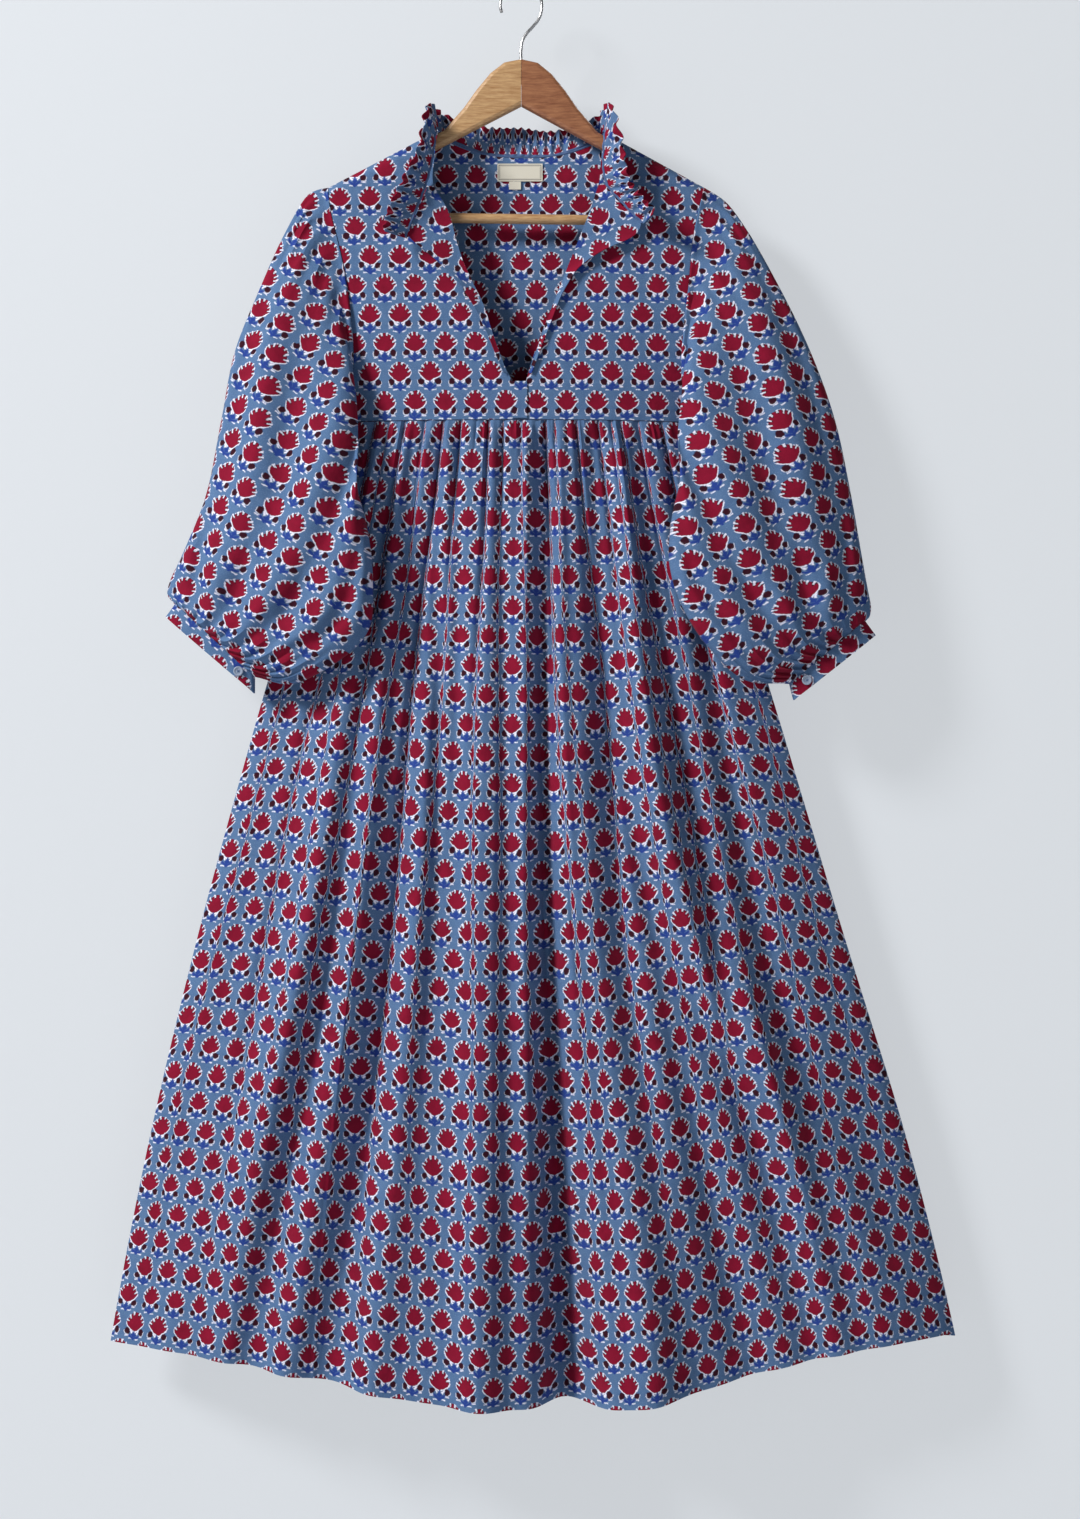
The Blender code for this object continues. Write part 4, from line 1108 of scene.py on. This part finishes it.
def woven_tape(bordered):
    """Cream woven tape; the label has a thin dark line round it, a little in from its edge."""
    material, tree, shader = new_material("label_tape" if bordered else "tab_tape", Roughness=0.7)
    _, u, v = cut_spots(tree)
    ribs = (v * 2.2).fraction() * 0.5 + (u * 2.2).fraction() * 0.3
    colour = mixed(tree, ribs, paint(214, 208, 190), paint(236, 232, 218))
    if bordered:
        wide, high = LABEL_WIDTH / 2, LABEL_HEIGHT / 2
        edge = ((u - wide).size() - wide).most((v - high).size() - high)
        line = ((edge + 1.6).size() - 0.3).inside(0.3)
        inner = ((edge + 2.8).size() - 0.12).inside(0.3) * 0.6
        colour = mixed(tree, line.most(inner), colour, paint(60, 52, 56))
    adjust(shader, Base_Color=colour, Normal=bumped(tree, ribs, 0.4, 0.0002))
    return material


# Twisted thread colour; the dark navy copy is painted shade, the shadow line along the yoke seams.
def thread_and_seam_shadow(name, colour):
    material, tree, shader = new_material(name, Roughness=0.8)
    twist = noise(tree, object_spots(tree), 1100.0, 1.0)
    darker = tuple(c * 0.6 for c in colour[:3]) + (1.0,)
    adjust(shader, Base_Color=mixed(tree, twist, darker, colour))
    return material


def shell_button_stuff():
    """Grey-blue shell with a soft cloudy lustre."""
    material, tree, shader = new_material("button_shell", Roughness=0.28, Coat_Weight=0.4)
    cloud = noise(tree, object_spots(tree), 420.0, 3.0, 0.6)
    colour = mixed(tree, cloud, paint(112, 128, 156), paint(178, 190, 208))
    adjust(shader, Base_Color=colour)
    return material


def seam_line(name, surface, edge, material, radius=0.45, lift=0.25, count=160,
              ends=(0.003, 0.997)):
    """Thin line along the top or foot of a surface, standing a little proud of it; the neck lines are
    sewing and the dark navy yoke lines are painted seam shadow.
    """
    u, v = np.linspace(*ends, count), np.full(count, 0.0 if edge == "top" else 1.0)
    places = surface(u, v) + surface_normals(surface, u, np.clip(v, 0.004, 0.996), (), False) * lift
    return thin_tube(name, places, radius, material)


def thin_tube(name, places, radius, material, sides=2):
    """Round line through points in millimetres, made a mesh."""
    curve = bpy.data.curves.new(name, "CURVE")
    curve.dimensions = "3D"
    curve.bevel_depth = radius * MM
    curve.bevel_resolution = sides
    curve.use_fill_caps = True
    spline = curve.splines.new("POLY")
    spline.points.add(len(places) - 1)
    for point, place in zip(spline.points, places):
        point.co = (*(float(value) * MM for value in place), 1.0)
    holder = placed(name, curve)
    made = holder.evaluated_get(bpy.context.evaluated_depsgraph_get())
    mesh = bpy.data.meshes.new_from_object(made)
    bpy.data.objects.remove(holder, do_unlink=True)
    mesh.name = name
    mesh.materials.clear()
    mesh.shade_smooth()
    return riding(name, mesh, material)


def sewn_button(name, surface, share, material, thread):
    """Dished round button with a rim, four holes and crossed thread, standing on a cuff."""
    profile = [(0.0, 0.45), (2.9, 0.45), (3.5, 1.1), (4.3, 1.2), (4.9, 0.8), (5.0, 0.0), (4.9, -0.7),
               (4.2, -1.2), (0.0, -1.2)]
    bm = bmesh.new()
    verts = [bm.verts.new((r * MM, 0.0, z * MM)) for r, z in profile]
    rim = [bm.edges.new(pair) for pair in zip(verts, verts[1:])]
    bmesh.ops.spin(bm, geom=verts + rim, cent=(0, 0, 0), axis=(0, 0, 1), angle=2 * math.pi,
                   steps=40, use_merge=True, use_duplicate=False)
    bmesh.ops.remove_doubles(bm, verts=bm.verts, dist=1e-6)
    bmesh.ops.recalc_face_normals(bm, faces=bm.faces)
    holes = bmesh.new()
    for x in (-0.95, 0.95):
        for y in (-0.95, 0.95):
            ring = bmesh.ops.create_cone(holes, cap_ends=True, segments=12, radius1=0.5 * MM,
                                         radius2=0.5 * MM, depth=0.1 * MM)
            bmesh.ops.translate(holes, verts=ring["verts"], vec=(x * MM, y * MM, 0.46 * MM))
    for turn in (math.pi / 4, -math.pi / 4):
        bar = bmesh.ops.create_uvsphere(holes, u_segments=10, v_segments=6, radius=0.32 * MM)
        bmesh.ops.scale(holes, verts=bar["verts"], vec=(4.2, 1.0, 1.0))
        spin = mathutils.Matrix.Rotation(turn, 3, "Z")
        bmesh.ops.rotate(holes, verts=bar["verts"], cent=(0, 0, 0), matrix=spin)
        bmesh.ops.translate(holes, verts=bar["verts"], vec=(0, 0, 0.72 * MM))
    u, v = np.array([share]), np.array([0.5])
    normal = surface_normals(surface, u, v, (), True)[0]
    place = surface(u, v)[0] + normal * (SEAM_GAP + BUTTON_THICKNESS / 2)
    seat = mathutils.Matrix.Translation(mathutils.Vector(place * MM))
    seat = seat @ mathutils.Vector(normal).to_track_quat("Z", "Y").to_matrix().to_4x4()
    bmesh.ops.transform(bm, matrix=seat, verts=bm.verts)
    bmesh.ops.transform(holes, matrix=seat, verts=holes.verts)
    knob = finished(name, bm, material)
    thread_piece = finished(name + "_thread", holes, thread)
    return knob, thread_piece


def declare(piece, node):
    """Put a piece in place of its solid, which is hidden."""
    if node:
        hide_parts(node)
    return piece


def hook_path():
    """Stem up out of the wood, a sideways bend, then the hook over the top to its tip."""
    centre = -(HOOK_RADIUS - WIRE / 2)
    path = [(0.0, 0.0, -STEM_FOOT), (0.0, 0.0, -78.0), (0.0, 0.0, -64.0), (1.5, 0.0, -55.0),
            (6.0, 0.0, -47.5), (12.0, 0.0, -41.0), (17.5, 0.0, -34.0), (20.3, 0.0, -26.5)]
    for step in range(17):
        angle = math.radians(200.0 * step / 16)
        path.append((HOOK_RADIUS * math.cos(angle), 0.0, centre + HOOK_RADIUS * math.sin(angle)))
    return path


SIDES = (("left", -1), ("right", 1))


def make_dress():
    cotton = printed_cotton("printed_cotton")
    # The dark navy below is painted shade: tubes along the yoke seams stand in for the seams' shadow
    # lines.
    seam_shadow_paint = thread_and_seam_shadow("painted_seam_shadow", paint(30, 38, 74))
    blue = thread_and_seam_shadow("blue_thread", paint(84, 112, 160))
    shell = shell_button_stuff()

    def sew(node, columns, rows, surface, cloth, slot="printed_cotton", stuff=cotton, **how):
        piece = cut_cloth("cloth_" + node, columns, rows, surface, cloth, stuff, **how)
        return declare(piece, node)

    for name, side in SIDES:
        panel = front_yoke(side)
        piece = sew("front_yoke_" + name, 60, 90, panel, flat_cloth(panel),
                    pins=(("top", 1), ("foot", 2)))
        # Painted shade: a dark navy line along the yoke seam in place of its shadow line.
        declare(seam_line("yoke_shadow_line_" + name, panel, "foot", seam_shadow_paint), None)
    piece = sew("back_yoke", 120, 80, back_yoke, flat_cloth(back_yoke),
                pins=(("shoulders", 1), ("foot", 2)))
    # Painted shade along the back yoke seam, as at the front.
    declare(seam_line("yoke_shadow_line_back", back_yoke, "foot", seam_shadow_paint), None)
    for front, name, rows, shown, yoke in ((True, "skirt_front", 130, 0.66, "front_yoke_left"),
                                           (False, "skirt_back", 90, 0.62, "back_yoke")):
        piece = sew(name, 300, rows, skirt(front), skirt_cloth(front),
                    pins=(("top", 2), ("start", 1), ("end", 1)))
    for name, side in SIDES:
        tube = sleeve(side)
        piece = sew("sleeve_" + name, 168, 110, tube, turned_cloth(tube, side, 0.62),
                    closed=True, pins=(("top", 0),))
    for name, side in SIDES:
        band = cuff(side)
        piece = sew("cuff_" + name, 120, 10, band, turned_cloth(band, side, 0.72),
                    thickness=1.5, closed=True)
        share = BUTTON_SHARE if side < 0 else 1 - BUTTON_SHARE
        knob, sewing = sewn_button("sewn_button_" + name, band, share, shell, blue)
        declare(knob, "cuff_button_" + name)
        declare(sewing, None)
    for name, side in SIDES:
        fold = lapel(side)
        piece = sew("slit_facing_" + name, 24, 80, fold, flat_cloth(fold, 0.5 * side),
                    "printed_facing", thickness=0.8)
    piece = sew("placket", 16, 24, placket, flat_cloth(placket), "printed_facing")
    piece = sew("collar_ruffle", 440, 14, collar, strip_cloth(900.0, COLLAR_HEIGHT, 12.0),
                "printed_ruffle", thickness=0.8)
    line = seam_line("neck_seam", collar, "foot", blue, radius=1.3, lift=0.0, count=440)
    declare(line, None)
    line = seam_line("back_neck_seam", back_yoke, "top", blue, radius=1.2, lift=-0.4, count=200,
                     ends=(SHOULDER_SHARE, 1 - SHOULDER_SHARE))
    declare(line, None)
    label = label_surface(LABEL_X, LABEL_WIDTH, LABEL_DROP - LABEL_HEIGHT / 2, LABEL_HEIGHT)
    piece = sew("neck_label", 24, 10, label, strip_cloth(LABEL_WIDTH, LABEL_HEIGHT, 0.0),
                "label_tape", woven_tape(True), thickness=0.6)
    tab = label_surface(TAB_X, TAB_WIDTH, LABEL_DROP + LABEL_HEIGHT / 2 + SEAM_GAP, TAB_HEIGHT)
    piece = sew("size_tab", 8, 6, tab, strip_cloth(TAB_WIDTH, TAB_HEIGHT, 0.0),
                "label_tape", woven_tape(False), thickness=0.6)


def make_hanger():
    """The two arms keep their solids; the bar and the hook get rounder pieces."""
    pale = turned_wood("pale_wood", paint(214, 176, 128), paint(168, 122, 78))
    brown = turned_wood("brown_wood", paint(178, 122, 84), paint(128, 76, 50))
    for node, wood in (("hanger_arm_left", pale), ("hanger_arm_right", brown)):
        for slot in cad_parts[node].material_slots:
            slot.material = wood
    reach = LUG_START - SEAM_GAP
    bar = [(x, 0.0, -BAR_DROP - HANG_TILT * x) for x in np.linspace(-reach, reach, 12)]
    declare(thin_tube("turned_trouser_bar", bar, BAR / 2, pale, 10), "trouser_bar")
    path = np.array(hook_path())
    lengths = np.concatenate(([0.0], np.cumsum(np.linalg.norm(np.diff(path, axis=0), axis=1))))
    wire = smooth_row(np.column_stack((lengths, path)), np.linspace(0.0, lengths[-1], 120))
    declare(thin_tube("wire_hook", wire, WIRE / 2, drawn_steel(), 6), "hanger_hook")


# Where the lamps aim, and a lens that takes in a height of 1519 mm at a distance of 2300 mm
MIDDLE_OF_DRESS = (0.0, 0.0, -0.75)
SENSOR = 36.0
LENS = SENSOR * 2300.0 / 1519.0


def plain_stage(name, size, places, turn, colour):
    """One square sheet of floor or wall."""
    bm = bmesh.new()
    bmesh.ops.create_grid(bm, x_segments=1, y_segments=1, size=size / 2)
    bmesh.ops.rotate(bm, verts=bm.verts, cent=(0, 0, 0), matrix=mathutils.Matrix.Rotation(turn, 3, "X"))
    bmesh.ops.translate(bm, verts=bm.verts, vec=places)
    mesh = mesh_of(name, bm)
    material, tree, shader = new_material(name + "_paint", Roughness=0.9)
    uneven = noise(tree, object_spots(tree), 3.0)
    paler = tuple(min(c * 1.03, 1.0) for c in colour[:3]) + (1.0,)
    adjust(shader, Base_Color=mixed(tree, uneven, colour, paler))
    mesh.materials.append(material)
    placed(name, mesh)
    return tree, shader


def make_room():
    plain_stage("floor", 9.0, (0.0, 0.0, -1.66), 0.0, paint(214, 219, 226))
    wall_paint = paint(126, 130, 135)
    tree, shader = plain_stage("wall", 12.0, (0.0, 0.05, -0.8), math.pi / 2, wall_paint)
    adjust(shader, Emission_Color=(0.93, 0.965, 1.0, 1.0), Emission_Strength=0.56)
    see = tree.nodes.new("ShaderNodeLightPath").outputs["Is Camera Ray"]
    behind = tree.nodes.new("ShaderNodeNewGeometry").outputs["Backfacing"]
    shows = Value(tree, see) * (Value(tree, behind) * -1.0 + 1.0)
    clear = tree.nodes.new("ShaderNodeBsdfTransparent")
    choose = tree.nodes.new("ShaderNodeMixShader")
    tree.links.new(shows.socket, choose.inputs["Fac"])
    tree.links.new(clear.outputs[0], choose.inputs[1])
    tree.links.new(shader.outputs[0], choose.inputs[2])
    tree.links.new(choose.outputs[0], tree.nodes["Material Output"].inputs["Surface"])
    world = bpy.data.worlds.new("soft_room")
    world.use_nodes = True
    adjust(world.node_tree.nodes["Background"], Color=(0.88, 0.91, 0.95, 1.0), Strength=0.15)
    bpy.context.scene.world = world
    lamp("window_light", (-3.0, -2.1, 1.7), 1.0, 205.0, (1.0, 0.985, 0.97))
    lamp("fill_light", (2.1, -2.2, -0.2), 2.2, 6.5, (0.92, 0.96, 1.0))
    lamp("back_light", (0.9, 2.3, 0.5), 1.8, 24.0, (0.95, 0.97, 1.0))


def lamp(name, place, size, power, colour):
    data = bpy.data.lights.new(name, "AREA")
    data.shape = "DISK"
    data.size = size
    data.energy = power
    data.color = colour
    light = placed(name, data)
    light.location = place
    aim = mathutils.Vector(MIDDLE_OF_DRESS) - mathutils.Vector(place)
    light.rotation_euler = aim.to_track_quat("-Z", "Y").to_euler()


def make_camera():
    data = bpy.data.cameras.new("camera")
    data.sensor_width = SENSOR
    data.lens = LENS
    camera = placed("camera", data)
    camera.location = (0.019, -2.33, -0.7835)
    camera.rotation_euler = (math.pi / 2, 0.0, 0.0)
    bpy.context.scene.camera = camera
    bpy.context.scene.view_settings.view_transform = "Standard"


make_camera()
make_dress()
make_hanger()
make_room()
